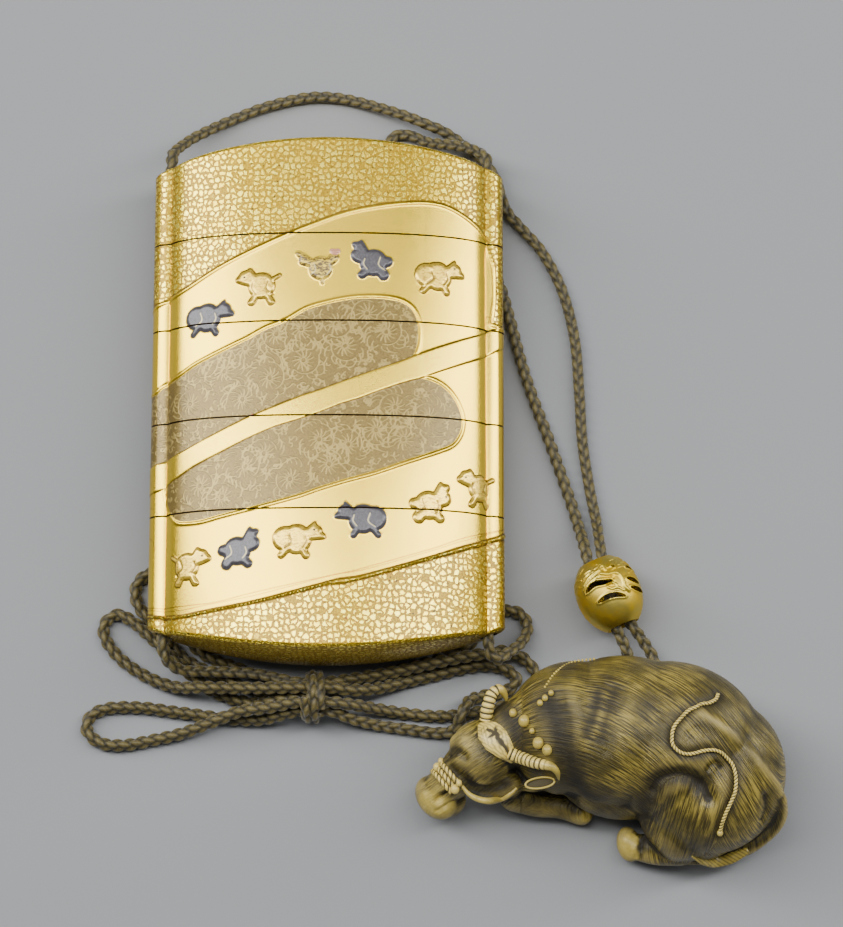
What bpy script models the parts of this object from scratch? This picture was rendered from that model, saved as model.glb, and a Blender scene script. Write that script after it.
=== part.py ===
"""An inro: a stacked lacquer case on a silk cord, with a pierced metal bead and a carved ox netsuke.

The case lies on its back. +Y runs along it towards the lid, +X across it, and +Z points out of its
decorated face. The origin is at the middle of the flat spot on the case's back. Lengths are metres.
"""

from math import atan2, copysign, cos, hypot, pi, radians, sin

import bmesh
import bpy
from mathutils import Matrix, Vector
from mathutils.bvhtree import BVHTree

MM = 0.001
GAP = 0.3 * MM

# Cord, and the play of each hole that it runs through
CORD_DIAMETER = 2.1 * MM
CORD_SPACING = 2.3
CORD_PLAY = 0.6 * MM
BINDING_CENTRE = Vector((-2.1, -47.8, 4.45)) * MM
BINDING_RADIUS = 4.4 * MM
BINDING_LENGTH = 4.8 * MM
BINDING_SIDES = 16

# Case, all sections together
CASE_THICK = 18.5 * MM
BODY_WIDTH = 52.8 * MM
OVAL_POWER = 2.2
FLAT_DEPTH = 0.3 * MM
RUNNER_INSET = 0.4 * MM
RUNNER_WALL = 1.15 * MM
CHANNEL_WALL = 1.0 * MM
CHANNEL_SIDES = 12
END_RISE = 4.5 * MM
END_BULGE = 1.3 * MM
END_EDGE = 0.4 * MM
END_SHARES = (0.25, 0.6, 0.88)
FACE_STEPS = 12
RUNNER_STEPS = 6

# Seams, from the bottom section up
SECOND_CASE_BASE = -4.6 * MM
SECOND_CASE_HEIGHT = 15.6 * MM
TOP_CASE_HEIGHT = 14.6 * MM
THIRD_CASE_HEIGHT = 15.1 * MM
LID_HEIGHT = 11.7 * MM
BOTTOM_CASE_HEIGHT = 17.6 * MM

# Walls and the fit of each riser in the recess above it
SKIN = 1.2 * MM
FIT = 0.3 * MM
RISER_WALL = 0.9 * MM
RISER_HEIGHT = 5.4 * MM
FLOOR = 1.5 * MM

# Bead
BEAD_CENTRE = Vector((45.5, -31.2, 5.35)) * MM
BEAD_RADIUS = 5.3 * MM
BEAD_HALF_LENGTH = 5.7 * MM
BEAD_WALL = 0.8 * MM
BEAD_TURN = radians(22.8)
BEAD_SIDES = 16
SLOT_COUNT = 5
SLOT_START = radians(18)
SLOT_LEAN = radians(36)
SLOT_DEPTH = 2.1 * MM
SLOT_LENGTH = 5.2 * MM
SLOT_WIDTH = 1.3 * MM

# Netsuke
OX_LENGTH = 59.0 * MM
OX_PLACE = Vector((44.0, -59.0, 0.0)) * MM
CORD_HOLE_DEPTH = 5.0 * MM
CORD_HOLE_SIDES = 10

CHANNEL_DIAMETER = CORD_DIAMETER + CORD_PLAY
BEAD_MOUTH = CORD_DIAMETER + CORD_PLAY
RUNNER_OFFSET = BODY_WIDTH / 2 - RUNNER_INSET
RUNNER_RADIUS = CHANNEL_DIAMETER / 2 + RUNNER_WALL
POCKET_HALF_WIDTH = RUNNER_OFFSET - CHANNEL_DIAMETER / 2 - CHANNEL_WALL
MIDDLE = (CASE_THICK + FLAT_DEPTH) / 2 - FLAT_DEPTH
HALF_THICK = (CASE_THICK + FLAT_DEPTH) / 2
RECESS_DEPTH = RISER_HEIGHT + FIT
SECOND_CASE_TOP = SECOND_CASE_BASE + SECOND_CASE_HEIGHT
TOP_CASE_TOP = SECOND_CASE_TOP + TOP_CASE_HEIGHT
LID_TOP = TOP_CASE_TOP + LID_HEIGHT
BOTTOM_CASE_TOP = SECOND_CASE_BASE - THIRD_CASE_HEIGHT
BOTTOM_CASE_BASE = BOTTOM_CASE_TOP - BOTTOM_CASE_HEIGHT

# The ox is drawn on a grid 59 squares long. Balls are centre, radii and turn about z; limbs are
# stops of x, y, z and radius.
OX_GRID = 59.0
OX_VOXEL = 0.5
OX_SMOOTHING = 8
OX_GROUND = 0.25
OX_FACES = 2400
OX_BALLS = (
    ((-4.5, 5.0, 11.5), (11.0, 10.8, 11.5), 0),
    ((3.0, 4.6, 12.0), (14.0, 12.0, 12.2), 0),
    ((11.0, 3.0, 12.0), (14.5, 12.6, 12.2), -15),
    ((17.0, -2.2, 10.8), (11.6, 12.6, 11.0), -20),
    ((2.0, -0.2, 8.5), (12.5, 8.8, 8.5), 0),
    ((-9.0, 2.0, 7.2), (7.0, 6.2, 7.2), 0),
    ((14.5, -7.6, 8.2), (9.0, 7.8, 8.2), 0),
    ((11.6, -9.6, 8.6), (4.8, 5.8, 6.0), 10),
    ((-19.0, 1.4, 11.6), (5.6, 5.4, 4.6), 0),
    ((-17.6, -2.8, 8.4), (5.2, 3.2, 4.8), -12),
    ((-23.6, -1.6, 8.4), (4.6, 4.4, 4.4), 40),
    ((-26.8, -4.7, 6.4), (3.5, 4.2, 3.8), 35),
    ((-22.3, 2.6, 12.2), (1.7, 1.5, 1.6), 0),
    ((-18.4, -1.9, 13.0), (1.8, 1.5, 1.6), 0),
    ((-9.8, -3.1, 9.8), (3.5, 1.8, 1.2), 8),
    ((-21.6, 5.2, 12.0), (1.4, 2.4, 1.0), 15),
    ((-16.4, 2.8, 15.6), (2.9, 2.6, 2.0), 40),
    ((3.9, -12.6, 3.3), (2.5, 3.1, 3.0), 10),
)
OX_LIMBS = (
    ((-4.0, 6.0, 12.0, 9.0), (-9.0, 5.2, 13.0, 7.4), (-13.5, 4.2, 13.4, 5.6)),
    ((-16.5, 3.0, 12.5, 4.6), (-19.5, 1.0, 11.5, 4.5), (-22.5, -1.5, 9.5, 3.8), (-25.3, -3.6, 7.6, 3.1)),
    ((-19.4, 4.6, 14.6, 1.9), (-18.4, 6.3, 15.6, 1.7), (-17.8, 8.6, 15.8, 1.4), (-16.7, 10.4, 15.0, 1.2),
     (-15.6, 9.8, 13.2, 0.8)),
    ((-15.6, 0.9, 14.8, 2.0), (-13.0, 0.4, 15.4, 1.8), (-10.2, -0.3, 15.0, 1.5), (-7.9, -1.2, 13.6, 1.2),
     (-7.0, -2.9, 11.6, 0.8)),
    ((-13.6, -4.4, 4.6, 3.0), (-10.0, -5.7, 3.7, 2.4), (-6.5, -6.2, 3.2, 2.1), (-3.2, -7.4, 2.5, 1.8)),
    ((12.0, -12.4, 5.4, 3.6), (8.6, -13.2, 4.6, 2.7), (5.6, -12.9, 4.0, 2.2)),
    ((14.0, 6.8, 19.6, 2.4), (19.0, 3.8, 19.4, 2.4), (23.2, -1.4, 17.0, 2.2), (26.2, -5.8, 13.4, 2.0),
     (26.9, -9.0, 9.6, 1.8), (23.4, -13.2, 5.8, 1.6), (18.6, -15.3, 4.0, 1.7), (13.6, -15.9, 2.6, 1.2)),
)
OX_NECK_BEADS = ((-14.6, 7.4), (-12.7, 6.1), (-11.3, 4.3), (-10.2, 2.5), (-8.6, 1.2))
OX_NECK_BEAD_RADIUS = 1.3
OX_NECK_BEAD_HEIGHT = 17.0
OX_CORD_HOLES = ((5.5, 10.0, 3.4), (9.6, 10.0, 3.4))

# Routes of the cord's stretches, in millimetres, each point chosen by hand
ROUTES = {
    "cord_left_strand": (
        (-26, 34, 9.15), (-26, 40.3, 9.1), (-25.9, 42.4, 8.0), (-24.8, 44.3, 5.9), (-22.3, 46.9, 3.5),
        (-17, 50.3, 1.3), (-11.3, 52.7, 1.2), (-5.2, 54.3, 1.2), (-1, 54.6, 1.2), (3.4, 54, 1.2),
        (8.3, 52.3, 2.2), (12.5, 50.5, 3.5), (16.0, 48.9, 3.9), (19.2, 47.8, 2.8), (22.4, 45.9, 1.4),
        (25.4, 43.3, 1.2), (27.6, 40.4, 1.2), (28.6, 36.9, 1.2), (29.7, 34.2, 1.2), (32.0, 31.4, 1.2),
        (35.4, 27.3, 1.2), (38.6, 20.8, 1.2), (40.6, 12.5, 1.2), (41.3, 3, 1.2), (41.7, -5, 1.2),
        (42.8, -13, 1.2), (43.8, -18.6, 1.9), (44.2, -22.8, 4.3), (44.65, -26.1, 5.3), (45.5, -28.3, 5.35)),
    "cord_right_strand": (
        (26, 34, 9.15), (26, 40.3, 9.1), (25.1, 42.3, 8.1), (22.8, 44.0, 6.3), (19.4, 45.2, 4.2),
        (16.2, 46.4, 1.9), (13.4, 47.8, 1.2), (11.0, 47.8, 1.2), (9.9, 46.2, 1.2), (10.9, 44.5, 1.2),
        (13.4, 43.7, 1.2), (17, 43.0, 1.2), (20.6, 41.3, 1.2), (23.2, 38.0, 1.2), (24.3, 33, 1.2),
        (25.8, 27, 1.2), (28.4, 21.2, 1.2), (30.1, 15, 1.2), (31.7, 8.6, 1.2), (33.6, 2.4, 1.2),
        (35.7, -3.4, 1.2), (37.7, -9.2, 1.2), (39.6, -15, 1.2), (40.9, -19.6, 2.0), (41.7, -23.4, 4.3),
        (42.5, -27.0, 5.3), (43.35, -29.2, 5.35)),
    "cord_netsuke_strand_a": (
        (45.6, -34.3, 5.35), (46.4, -36.4, 5.3), (47.9, -39.3, 4.1), (48.9, -42.0, 3.2), (49.4, -44.5, 3.1),
        (49.5, -47.0, 3.4), (49.5, -50.6, 3.4)),
    "cord_netsuke_strand_b": (
        (47.75, -33.3, 5.35), (48.6, -35.5, 5.3), (50.8, -38.4, 4.1), (52.7, -41.4, 3.2), (53.4, -44.3, 3.1),
        (53.6, -47.0, 3.4), (53.6, -50.6, 3.4)),
    "cord_case_left_end": (
        (-26, -34, 9.15), (-26, -40.3, 9.1), (-25.3, -42.5, 7.9), (-23.3, -43.7, 6.0), (-20, -43.7, 4.6),
        (-16, -43.7, 3.7), (-12, -43.9, 3.7), (-8, -44.7, 4.1), (-5.0, -45.4, 4.4)),
    "cord_loop_upper_left": (
        (-5.0, -46.6, 6.5), (-8, -46.6, 6.1), (-12, -46.5, 5.1), (-16, -46.4, 4.6), (-20, -46.3, 4.6),
        (-24.6, -45.9, 2.3), (-29.2, -44.1, 1.2), (-33.4, -41.3, 1.2), (-36.0, -38.0, 1.2),
        (-36.2, -35.4, 1.2), (-34.2, -33.9, 1.2), (-31.6, -35.2, 2.1), (-28.3, -38.2, 3.2),
        (-24.8, -41.4, 3.2), (-21.1, -44.7, 2.3), (-17.8, -46.8, 1.2), (-12, -48.5, 1.9), (-8, -48.1, 3.9),
        (-5.0, -47.8, 4.4)),
    "cord_loop_under_left": (
        (-5.0, -46.6, 2.3), (-8, -45.2, 1.2), (-12, -43.6, 1.2), (-15.6, -42.3, 1.2), (-19, -41.0, 1.2),
        (-22, -38.7, 1.2), (-23.4, -35.6, 1.2), (-23.8, -32.2, 1.2), (-24.6, -29.0, 1.2), (-26.8, -27.0, 1.2),
        (-29.4, -27.2, 1.2), (-31.2, -29.2, 1.2), (-31.0, -32.0, 1.2), (-29.0, -34.9, 1.2),
        (-26.3, -38.0, 1.2), (-23.4, -41.0, 1.2), (-19.5, -43.2, 1.2), (-16, -44.8, 1.2), (-12, -46.1, 1.2),
        (-8, -47.6, 1.2), (-5.0, -49.0, 2.3)),
    "cord_loop_lower_left": (
        (-5.0, -49.0, 6.5), (-9.2, -49.7, 5.5), (-14.0, -50.2, 4.3), (-18.3, -51.7, 3.3), (-23.0, -53.3, 2.0),
        (-27.6, -54.3, 1.2), (-32.8, -55.2, 1.2), (-36.6, -54.8, 1.2), (-38.7, -52.8, 1.2),
        (-38.1, -50.5, 1.2), (-35.2, -49.2, 1.2), (-30.0, -49.1, 1.2), (-25.4, -49.7, 1.2),
        (-20.8, -50.3, 1.2), (-15.6, -51.0, 1.2), (-10.6, -51.2, 2.2), (-7.6, -50.7, 3.6), (-5.0, -50.2, 4.4)),
    "cord_loop_outer_right": (
        (0.8, -45.4, 4.4), (4.4, -44.8, 4.0), (8.4, -44.1, 3.6), (12.8, -43.2, 3.4), (17.1, -42.2, 3.4),
        (21.4, -41.3, 3.4), (25.4, -40.6, 3.3), (28.9, -40.1, 2.6), (31.6, -41.0, 1.6), (33.4, -42.9, 1.2),
        (33.9, -45.2, 1.2), (32.6, -47.2, 1.2), (29.6, -48.6, 1.2), (25.6, -49.6, 1.2), (21.6, -50.3, 1.2),
        (17.4, -50.5, 1.2), (12.9, -50.1, 1.2), (8.6, -49.6, 2.5), (4.4, -49.2, 5.0), (0.8, -49.0, 6.5)),
    "cord_loop_inner_right": (
        (0.8, -46.6, 6.5), (4.4, -46.9, 5.5), (8.4, -46.3, 3.8), (12.7, -45.0, 2.1), (17.1, -43.9, 1.2),
        (21.4, -42.8, 1.2), (25.0, -42.2, 1.2), (28.1, -42.6, 1.2), (30.4, -44.0, 1.2), (30.0, -45.7, 1.2),
        (27.8, -46.7, 1.2), (25.2, -47.2, 1.2), (23.0, -48.2, 3.0), (21.8, -50.4, 4.5), (20.6, -52.8, 2.5),
        (17.6, -53.2, 1.2), (12.9, -52.6, 1.2), (8.4, -52.0, 1.2), (4.0, -51.2, 3.0), (0.8, -50.2, 4.4)),
    "cord_case_right_end": (
        (0.8, -46.6, 2.3), (4.6, -45.3, 1.2), (8.4, -43.8, 1.2), (13.0, -42.6, 1.2), (17.4, -41.5, 1.2),
        (21.2, -40.1, 1.2), (24.2, -37.6, 1.2), (26.4, -34.8, 1.2), (28.9, -33.2, 1.2), (31.4, -33.9, 1.3),
        (32.4, -36.2, 2.2), (31.4, -38.9, 4.2), (29.2, -41.0, 6.3), (27.2, -42.2, 7.9), (26, -40.3, 9.1),
        (26, -34, 9.15)),
}


def clear_scene():
    """Removes what the file holds already."""
    for obj in list(bpy.data.objects):
        bpy.data.objects.remove(obj, do_unlink=True)


def finish_material(name, colour, roughness, metallic):
    """A Principled material in one plain finish."""
    material = bpy.data.materials.new(name)
    material.use_nodes = True
    shader = material.node_tree.nodes["Principled BSDF"]
    shader.inputs["Base Color"].default_value = (*colour, 1.0)
    shader.inputs["Roughness"].default_value = roughness
    shader.inputs["Metallic"].default_value = metallic
    material.diffuse_color = (*colour, 1.0)
    return material


def add_object(name, data, material):
    """Links an object that holds the mesh or curve."""
    obj = bpy.data.objects.new(name, data)
    bpy.context.scene.collection.objects.link(obj)
    data.materials.append(material)
    return obj


def mesh_object(name, bm, material, crease=radians(35)):
    """Turns a bmesh into an object with smooth rounds and sharp edges."""
    mesh = bpy.data.meshes.new(name)
    bm.to_mesh(mesh)
    bm.free()
    mesh.shade_smooth()
    mesh.set_sharp_from_angle(angle=crease)
    return add_object(name, mesh, material)


def cutter(name, bm):
    """A hidden mesh that a Boolean subtracts."""
    mesh = bpy.data.meshes.new(name)
    bm.to_mesh(mesh)
    bm.free()
    obj = bpy.data.objects.new(name, mesh)
    bpy.context.scene.collection.objects.link(obj)
    obj.hide_render = True
    obj.display_type = "WIRE"
    return obj


def subtract(obj, tool):
    """Adds a Boolean difference by the cutter."""
    modifier = obj.modifiers.new(tool.name, "BOOLEAN")
    modifier.operation = "DIFFERENCE"
    modifier.solver = "EXACT"
    modifier.object = tool


def rod(bm, start, end, radius, sides):
    """A closed straight cylinder between two points, turned half a side off the case's middle plane."""
    start, end = Vector(start), Vector(end)
    run = end - start
    aim = run.to_track_quat("Z", "Y").to_matrix().to_4x4()
    place = Matrix.Translation((start + end) / 2) @ aim @ Matrix.Rotation(pi / sides, 4, "Z")
    bmesh.ops.create_cone(bm, cap_ends=True, segments=sides, radius1=radius, radius2=radius,
                          depth=run.length, matrix=place)


# Case sections


def oval(half_width, half_thick, angle):
    """A point of the oval cross-section, from its middle."""
    c, s = cos(angle), sin(angle)
    power = 2 / OVAL_POWER
    return half_width * copysign(abs(c) ** power, c), half_thick * copysign(abs(s) ** power, s)


def crease_angle():
    """The oval's angle where its face meets the round cord runner."""
    low, high = 0.0, pi / 2
    for _ in range(40):
        angle = (low + high) / 2
        x, z = oval(BODY_WIDTH / 2, HALF_THICK, angle)
        if hypot(x - RUNNER_OFFSET, z) < RUNNER_RADIUS:
            low = angle
        else:
            high = angle
    return high


def outline_angles():
    """Oval angles once round: the front face, the left runner, the back face, the right runner."""
    crease = crease_angle()
    face = [crease + (pi - 2 * crease) * k / FACE_STEPS for k in range(FACE_STEPS)]
    runner = [pi - crease + 2 * crease * k / RUNNER_STEPS for k in range(RUNNER_STEPS)]
    half = [(angle, False) for angle in face] + [(angle, True) for angle in runner]
    return half + [(angle + pi, on_runner) for angle, on_runner in half]


def outer_ring():
    """The outside outline, as x and height, with the cord runners on both sides."""
    crease = crease_angle()
    x, z = oval(BODY_WIDTH / 2, HALF_THICK, crease)
    sweep = atan2(z, x - RUNNER_OFFSET)
    points = []
    for angle, on_runner in outline_angles():
        if on_runner:
            side = 0 if angle > 1.5 * pi else pi
            share = ((angle - side + pi) % (2 * pi) - pi) / crease
            turn = side + share * sweep
            x = RUNNER_OFFSET * cos(side) + RUNNER_RADIUS * cos(turn)
            z = RUNNER_RADIUS * sin(turn)
        else:
            x, z = oval(BODY_WIDTH / 2, HALF_THICK, angle)
        points.append((x, max(MIDDLE + z, 0.0)))
    return points


def pocket_ring(inset):
    """The recess outline, or one that lies inside it by the inset."""
    wide = POCKET_HALF_WIDTH - inset
    thick = HALF_THICK - SKIN - inset
    ring = (oval(wide, thick, angle) for angle, _ in outline_angles())
    return [(x, MIDDLE + z) for x, z in ring]


def end_height(x, z):
    """How far the domed end stands past its side height."""
    across = 1 - (2 * x / BODY_WIDTH) ** 2
    deep = 1 - ((z - MIDDLE) / HALF_THICK) ** 2
    return END_RISE * across + END_BULGE * deep


def at(ring, y):
    """The ring's points in the plane of that y."""
    return [Vector((x, y, z)) for x, z in ring]


def domed(ring, base, sign, share, drop=0.0):
    """The ring drawn in towards its middle and laid on the domed end."""
    points = []
    for x, z in ring:
        inner_x = x * share
        inner_z = MIDDLE + (z - MIDDLE) * share
        points.append(Vector((inner_x, base + sign * (end_height(inner_x, inner_z) - drop), inner_z)))
    return points


def loft(bm, rings):
    """A wall through closed rings of equally many points, closed by a fan at each end."""
    verts = [bm.verts.new(point) for point in rings[0]]
    edges = [bm.edges.new(pair) for pair in zip(verts, verts[1:] + verts[:1])]
    ends = [edges]
    for ring in rings[1:]:
        grown = bmesh.ops.extrude_edge_only(bm, edges=edges)["geom"]
        fresh = {item for item in grown if isinstance(item, bmesh.types.BMVert)}
        verts = [next(edge.other_vert(vert) for edge in vert.link_edges if edge.other_vert(vert) in fresh)
                 for vert in verts]
        edges = [bm.edges.get(pair) for pair in zip(verts, verts[1:] + verts[:1])]
        for vert, point in zip(verts, ring):
            vert.co = point
    ends.append(edges)
    caps = []
    for loop in ends:
        caps += bmesh.ops.contextual_create(bm, geom=loop)["faces"]
    bmesh.ops.poke(bm, faces=caps)
    bmesh.ops.recalc_face_normals(bm, faces=bm.faces)


def domed_end(base, sign):
    """Rings from the middle of a domed end out to its rounded edge."""
    ring = outer_ring()
    inward = [domed(ring, base, sign, share) for share in (*END_SHARES, 1 - END_EDGE / HALF_THICK)]
    return inward + [domed(ring, base, sign, 1.0, END_EDGE)]


def riser(top, floor):
    """Rings from the shoulder over the riser and down to the compartment's floor."""
    outside = pocket_ring(FIT)
    inside = pocket_ring(FIT + RISER_WALL)
    return [at(outside, top), at(outside, top + RISER_HEIGHT), at(inside, top + RISER_HEIGHT), at(inside, floor)]


def case_section(base, top):
    """A compartment with a recess under it and a riser on it."""
    recess = pocket_ring(0)
    outer = outer_ring()
    roof = base + RECESS_DEPTH
    return [at(recess, roof), at(recess, base), at(outer, base), at(outer, top)] + riser(top, roof + FLOOR)


def bottom_section(top):
    """The lowest compartment, on a domed end."""
    return domed_end(BOTTOM_CASE_BASE, -1) + [at(outer_ring(), top)] + riser(top, BOTTOM_CASE_BASE + FLOOR)


def lid_section(base):
    """The lid, hollow from below, with a domed top."""
    recess = pocket_ring(0)
    body = [at(recess, LID_TOP - FLOOR), at(recess, base), at(outer_ring(), base)]
    return body + domed_end(LID_TOP, 1)[::-1]


def build_case():
    """Lid and four compartments, with the cord channels bored through their runners."""
    lacquer = finish_material("gold_lacquer", (0.62, 0.42, 0.10), 0.32, 0.85)
    channels = []
    for side, label in ((-1, "left"), (1, "right")):
        bm = bmesh.new()
        reach = END_RISE + RISER_HEIGHT
        rod(bm, (side * RUNNER_OFFSET, BOTTOM_CASE_BASE - reach, MIDDLE),
            (side * RUNNER_OFFSET, LID_TOP + reach, MIDDLE), CHANNEL_DIAMETER / 2, CHANNEL_SIDES)
        channels.append(cutter(f"channel_cutter_{label}", bm))
    half = GAP / 2
    sections = {
        "lid": lid_section(TOP_CASE_TOP + half),
        "top_case": case_section(SECOND_CASE_TOP + half, TOP_CASE_TOP - half),
        "second_case": case_section(SECOND_CASE_BASE + half, SECOND_CASE_TOP - half),
        "third_case": case_section(BOTTOM_CASE_TOP + half, SECOND_CASE_BASE - half),
        "bottom_case": bottom_section(BOTTOM_CASE_TOP - half),
    }
    for name, rings in sections.items():
        bm = bmesh.new()
        loft(bm, rings)
        obj = mesh_object(name, bm, lacquer)
        for channel in channels:
            subtract(obj, channel)


# Bead


def bead_profile(radius, half_length, steps):
    """Points of an egg-round outline between the two mouths, as radius and height."""
    limit = (1 - (BEAD_MOUTH / radius) ** 2) ** 0.5
    heights = [limit * sin(pi / 2 * (2 * k / steps - 1)) for k in range(steps + 1)]
    return [(radius * (1 - h * h) ** 0.5, half_length * h) for h in heights]


def build_bead():
    """A hollow bead, bored for two strands and pierced with slanting slots."""
    metal = finish_material("bead_gold", (0.42, 0.29, 0.08), 0.38, 1.0)
    outside = bead_profile(BEAD_RADIUS, BEAD_HALF_LENGTH, 8)
    inside = bead_profile(BEAD_RADIUS - BEAD_WALL, BEAD_HALF_LENGTH - BEAD_WALL, 4)
    bm = bmesh.new()
    verts = [bm.verts.new((r, 0, h)) for r, h in outside + inside[::-1]]
    edges = [bm.edges.new(pair) for pair in zip(verts, verts[1:] + verts[:1])]
    bmesh.ops.spin(bm, geom=verts + edges, cent=(0, 0, 0), axis=(0, 0, 1), angle=2 * pi,
                   steps=BEAD_SIDES, use_merge=True)
    bmesh.ops.remove_doubles(bm, verts=bm.verts, dist=0.001 * MM)
    bmesh.ops.recalc_face_normals(bm, faces=bm.faces)
    bead = mesh_object("ojime_bead", bm, metal)
    slots = bmesh.new()
    for k in range(SLOT_COUNT):
        around = Matrix.Rotation(2 * pi * k / SLOT_COUNT + SLOT_START, 4, "Z")
        lean = Matrix.Rotation(SLOT_LEAN if k % 2 else -SLOT_LEAN, 4, "X")
        size = Matrix.Diagonal((SLOT_DEPTH, SLOT_WIDTH / 2, SLOT_LENGTH / 2, 1))
        away = Matrix.Translation((BEAD_RADIUS - BEAD_WALL / 2, 0, 0))
        bmesh.ops.create_uvsphere(slots, u_segments=8, v_segments=6, radius=1, matrix=around @ away @ lean @ size)
    tool = cutter("bead_slot_cutter", slots)
    subtract(bead, tool)
    place = Matrix.Translation(BEAD_CENTRE) @ Matrix.Rotation(BEAD_TURN, 4, "Z") @ Matrix.Rotation(-pi / 2, 4, "X")
    bead.matrix_world = place
    tool.matrix_world = place


# Netsuke


def smooth_route(points, step):
    """Points at about equal steps along a Catmull-Rom curve through the given ones."""
    points = [Vector(point) for point in points]
    ghost = [points[0] * 2 - points[1]] + points + [points[-1] * 2 - points[-2]]
    fine = []
    for a, b, c, d in zip(ghost, ghost[1:], ghost[2:], ghost[3:]):
        for k in range(16):
            t = k / 16
            fine.append((2 * b + (c - a) * t + (2 * a - 5 * b + 4 * c - d) * t ** 2
                         + (3 * b - a - 3 * c + d) * t ** 3) / 2)
    fine.append(points[-1])
    lengths = [0.0]
    for a, b in zip(fine, fine[1:]):
        lengths.append(lengths[-1] + (b - a).length)
    count = max(2, round(lengths[-1] / step))
    spaced = []
    k = 0
    for n in range(count + 1):
        goal = lengths[-1] * n / count
        while k < len(fine) - 2 and lengths[k + 1] < goal:
            k += 1
        span = lengths[k + 1] - lengths[k]
        spaced.append(fine[k].lerp(fine[k + 1], (goal - lengths[k]) / span))
    return spaced


def add_ball(bm, centre, radii, turn):
    """An ellipsoid, turned about z in degrees."""
    place = Matrix.Translation(centre) @ Matrix.Rotation(radians(turn), 4, "Z") @ Matrix.Diagonal((*radii, 1))
    bmesh.ops.create_icosphere(bm, subdivisions=3, radius=1, matrix=place)


def add_limb(bm, stops):
    """A tapering round limb, as balls close together along a smooth curve."""
    for x, y, z, radius in smooth_route(stops, OX_VOXEL):
        add_ball(bm, (x, y, z), (radius, radius, radius), 0)


def ox_shape():
    """The ox's forms on its grid, still apart."""
    bm = bmesh.new()
    for centre, radii, turn in OX_BALLS:
        add_ball(bm, centre, radii, turn)
    for stops in OX_LIMBS:
        add_limb(bm, stops)
    tree = BVHTree.FromBMesh(bm)
    for x, y in OX_NECK_BEADS:
        hit = tree.ray_cast(Vector((x, y, 2 * OX_NECK_BEAD_HEIGHT)), Vector((0, 0, -1)))[0]
        height = min(hit.z, OX_NECK_BEAD_HEIGHT)
        add_ball(bm, (x, y, height), (OX_NECK_BEAD_RADIUS,) * 3, 0)
    return bm


def modified_mesh(obj):
    """The object's mesh with its modifiers applied, and the object gone."""
    depsgraph = bpy.context.evaluated_depsgraph_get()
    mesh = bpy.data.meshes.new_from_object(obj.evaluated_get(depsgraph))
    bpy.data.objects.remove(obj, do_unlink=True)
    return mesh


def build_ox():
    """The carved ox: its forms melted into one skin, thinned and cut flat where it lies."""
    ivory = finish_material("stained_ivory", (0.30, 0.22, 0.08), 0.4, 0.0)
    draft = mesh_object("ox_draft", ox_shape(), ivory)
    melt = draft.modifiers.new("melt", "REMESH")
    melt.mode = "VOXEL"
    melt.voxel_size = OX_VOXEL
    soften = draft.modifiers.new("soften", "SMOOTH")
    soften.factor = 0.5
    soften.iterations = OX_SMOOTHING
    mesh = modified_mesh(draft)
    triangles = sum(len(polygon.vertices) - 2 for polygon in mesh.polygons)
    thin = add_object("ox_thin", mesh, ivory)
    decimate = thin.modifiers.new("thin", "DECIMATE")
    decimate.ratio = OX_FACES / triangles
    bm = bmesh.new()
    bm.from_mesh(modified_mesh(thin))
    geometry = bm.verts[:] + bm.edges[:] + bm.faces[:]
    ground = bmesh.ops.bisect_plane(bm, geom=geometry, dist=0.0001, plane_co=(0, 0, OX_GROUND),
                                    plane_no=(0, 0, -1), clear_outer=True)["geom_cut"]
    rim = [item for item in ground if isinstance(item, bmesh.types.BMEdge)]
    bmesh.ops.holes_fill(bm, edges=rim, sides=0)
    bmesh.ops.translate(bm, verts=bm.verts, vec=(0, 0, -OX_GROUND))
    bmesh.ops.triangulate(bm, faces=bm.faces)
    unit = OX_LENGTH / OX_GRID
    bmesh.ops.scale(bm, verts=bm.verts, vec=(unit, unit, unit))
    bmesh.ops.recalc_face_normals(bm, faces=bm.faces)
    ox = mesh_object("netsuke_ox", bm, ivory, pi)
    holes = bmesh.new()
    for point in OX_CORD_HOLES:
        mouth = Vector(point) * unit
        reach = Vector((0, CORD_HOLE_DEPTH, 0))
        rod(holes, mouth + reach, mouth - reach, (CORD_DIAMETER + CORD_PLAY) / 2, CORD_HOLE_SIDES)
    tool = cutter("ox_cord_hole_cutter", holes)
    subtract(ox, tool)
    ox.location = OX_PLACE
    tool.location = OX_PLACE


# Cord


def build_cords():
    """One tube for each stretch of cord, and the binding round the hank."""
    silk = finish_material("silk_cord", (0.13, 0.10, 0.045), 0.6, 0.0)
    for name, route in ROUTES.items():
        curve = bpy.data.curves.new(name, "CURVE")
        curve.dimensions = "3D"
        curve.bevel_depth = CORD_DIAMETER / 2
        curve.bevel_resolution = 2
        curve.use_fill_caps = True
        points = smooth_route([Vector(point) * MM for point in route], CORD_SPACING * CORD_DIAMETER)
        spline = curve.splines.new("POLY")
        spline.points.add(len(points) - 1)
        for slot, point in zip(spline.points, points):
            slot.co = (*point, 1)
        add_object(name, curve, silk)
    bm = bmesh.new()
    half = Vector((BINDING_LENGTH / 2, 0, 0))
    rod(bm, BINDING_CENTRE - half, BINDING_CENTRE + half, BINDING_RADIUS, BINDING_SIDES)
    mesh_object("cord_binding", bm, silk)


clear_scene()
build_case()
build_bead()
build_ox()
build_cords()
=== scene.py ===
"""An inro on a braided silk cord with a pierced bead and a carved ox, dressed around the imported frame.

The case lies on its back: +Y towards the lid, +X across, +Z out of the decorated face. Shapes are
worked out in millimetres and stored in metres.
"""

from math import cos, pi, radians, sin

import bmesh
import bpy
import numpy as np
from bpy.props import FloatProperty, FloatVectorProperty, PointerProperty
from mathutils import Matrix, Vector
from mathutils.bvhtree import BVHTree


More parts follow.
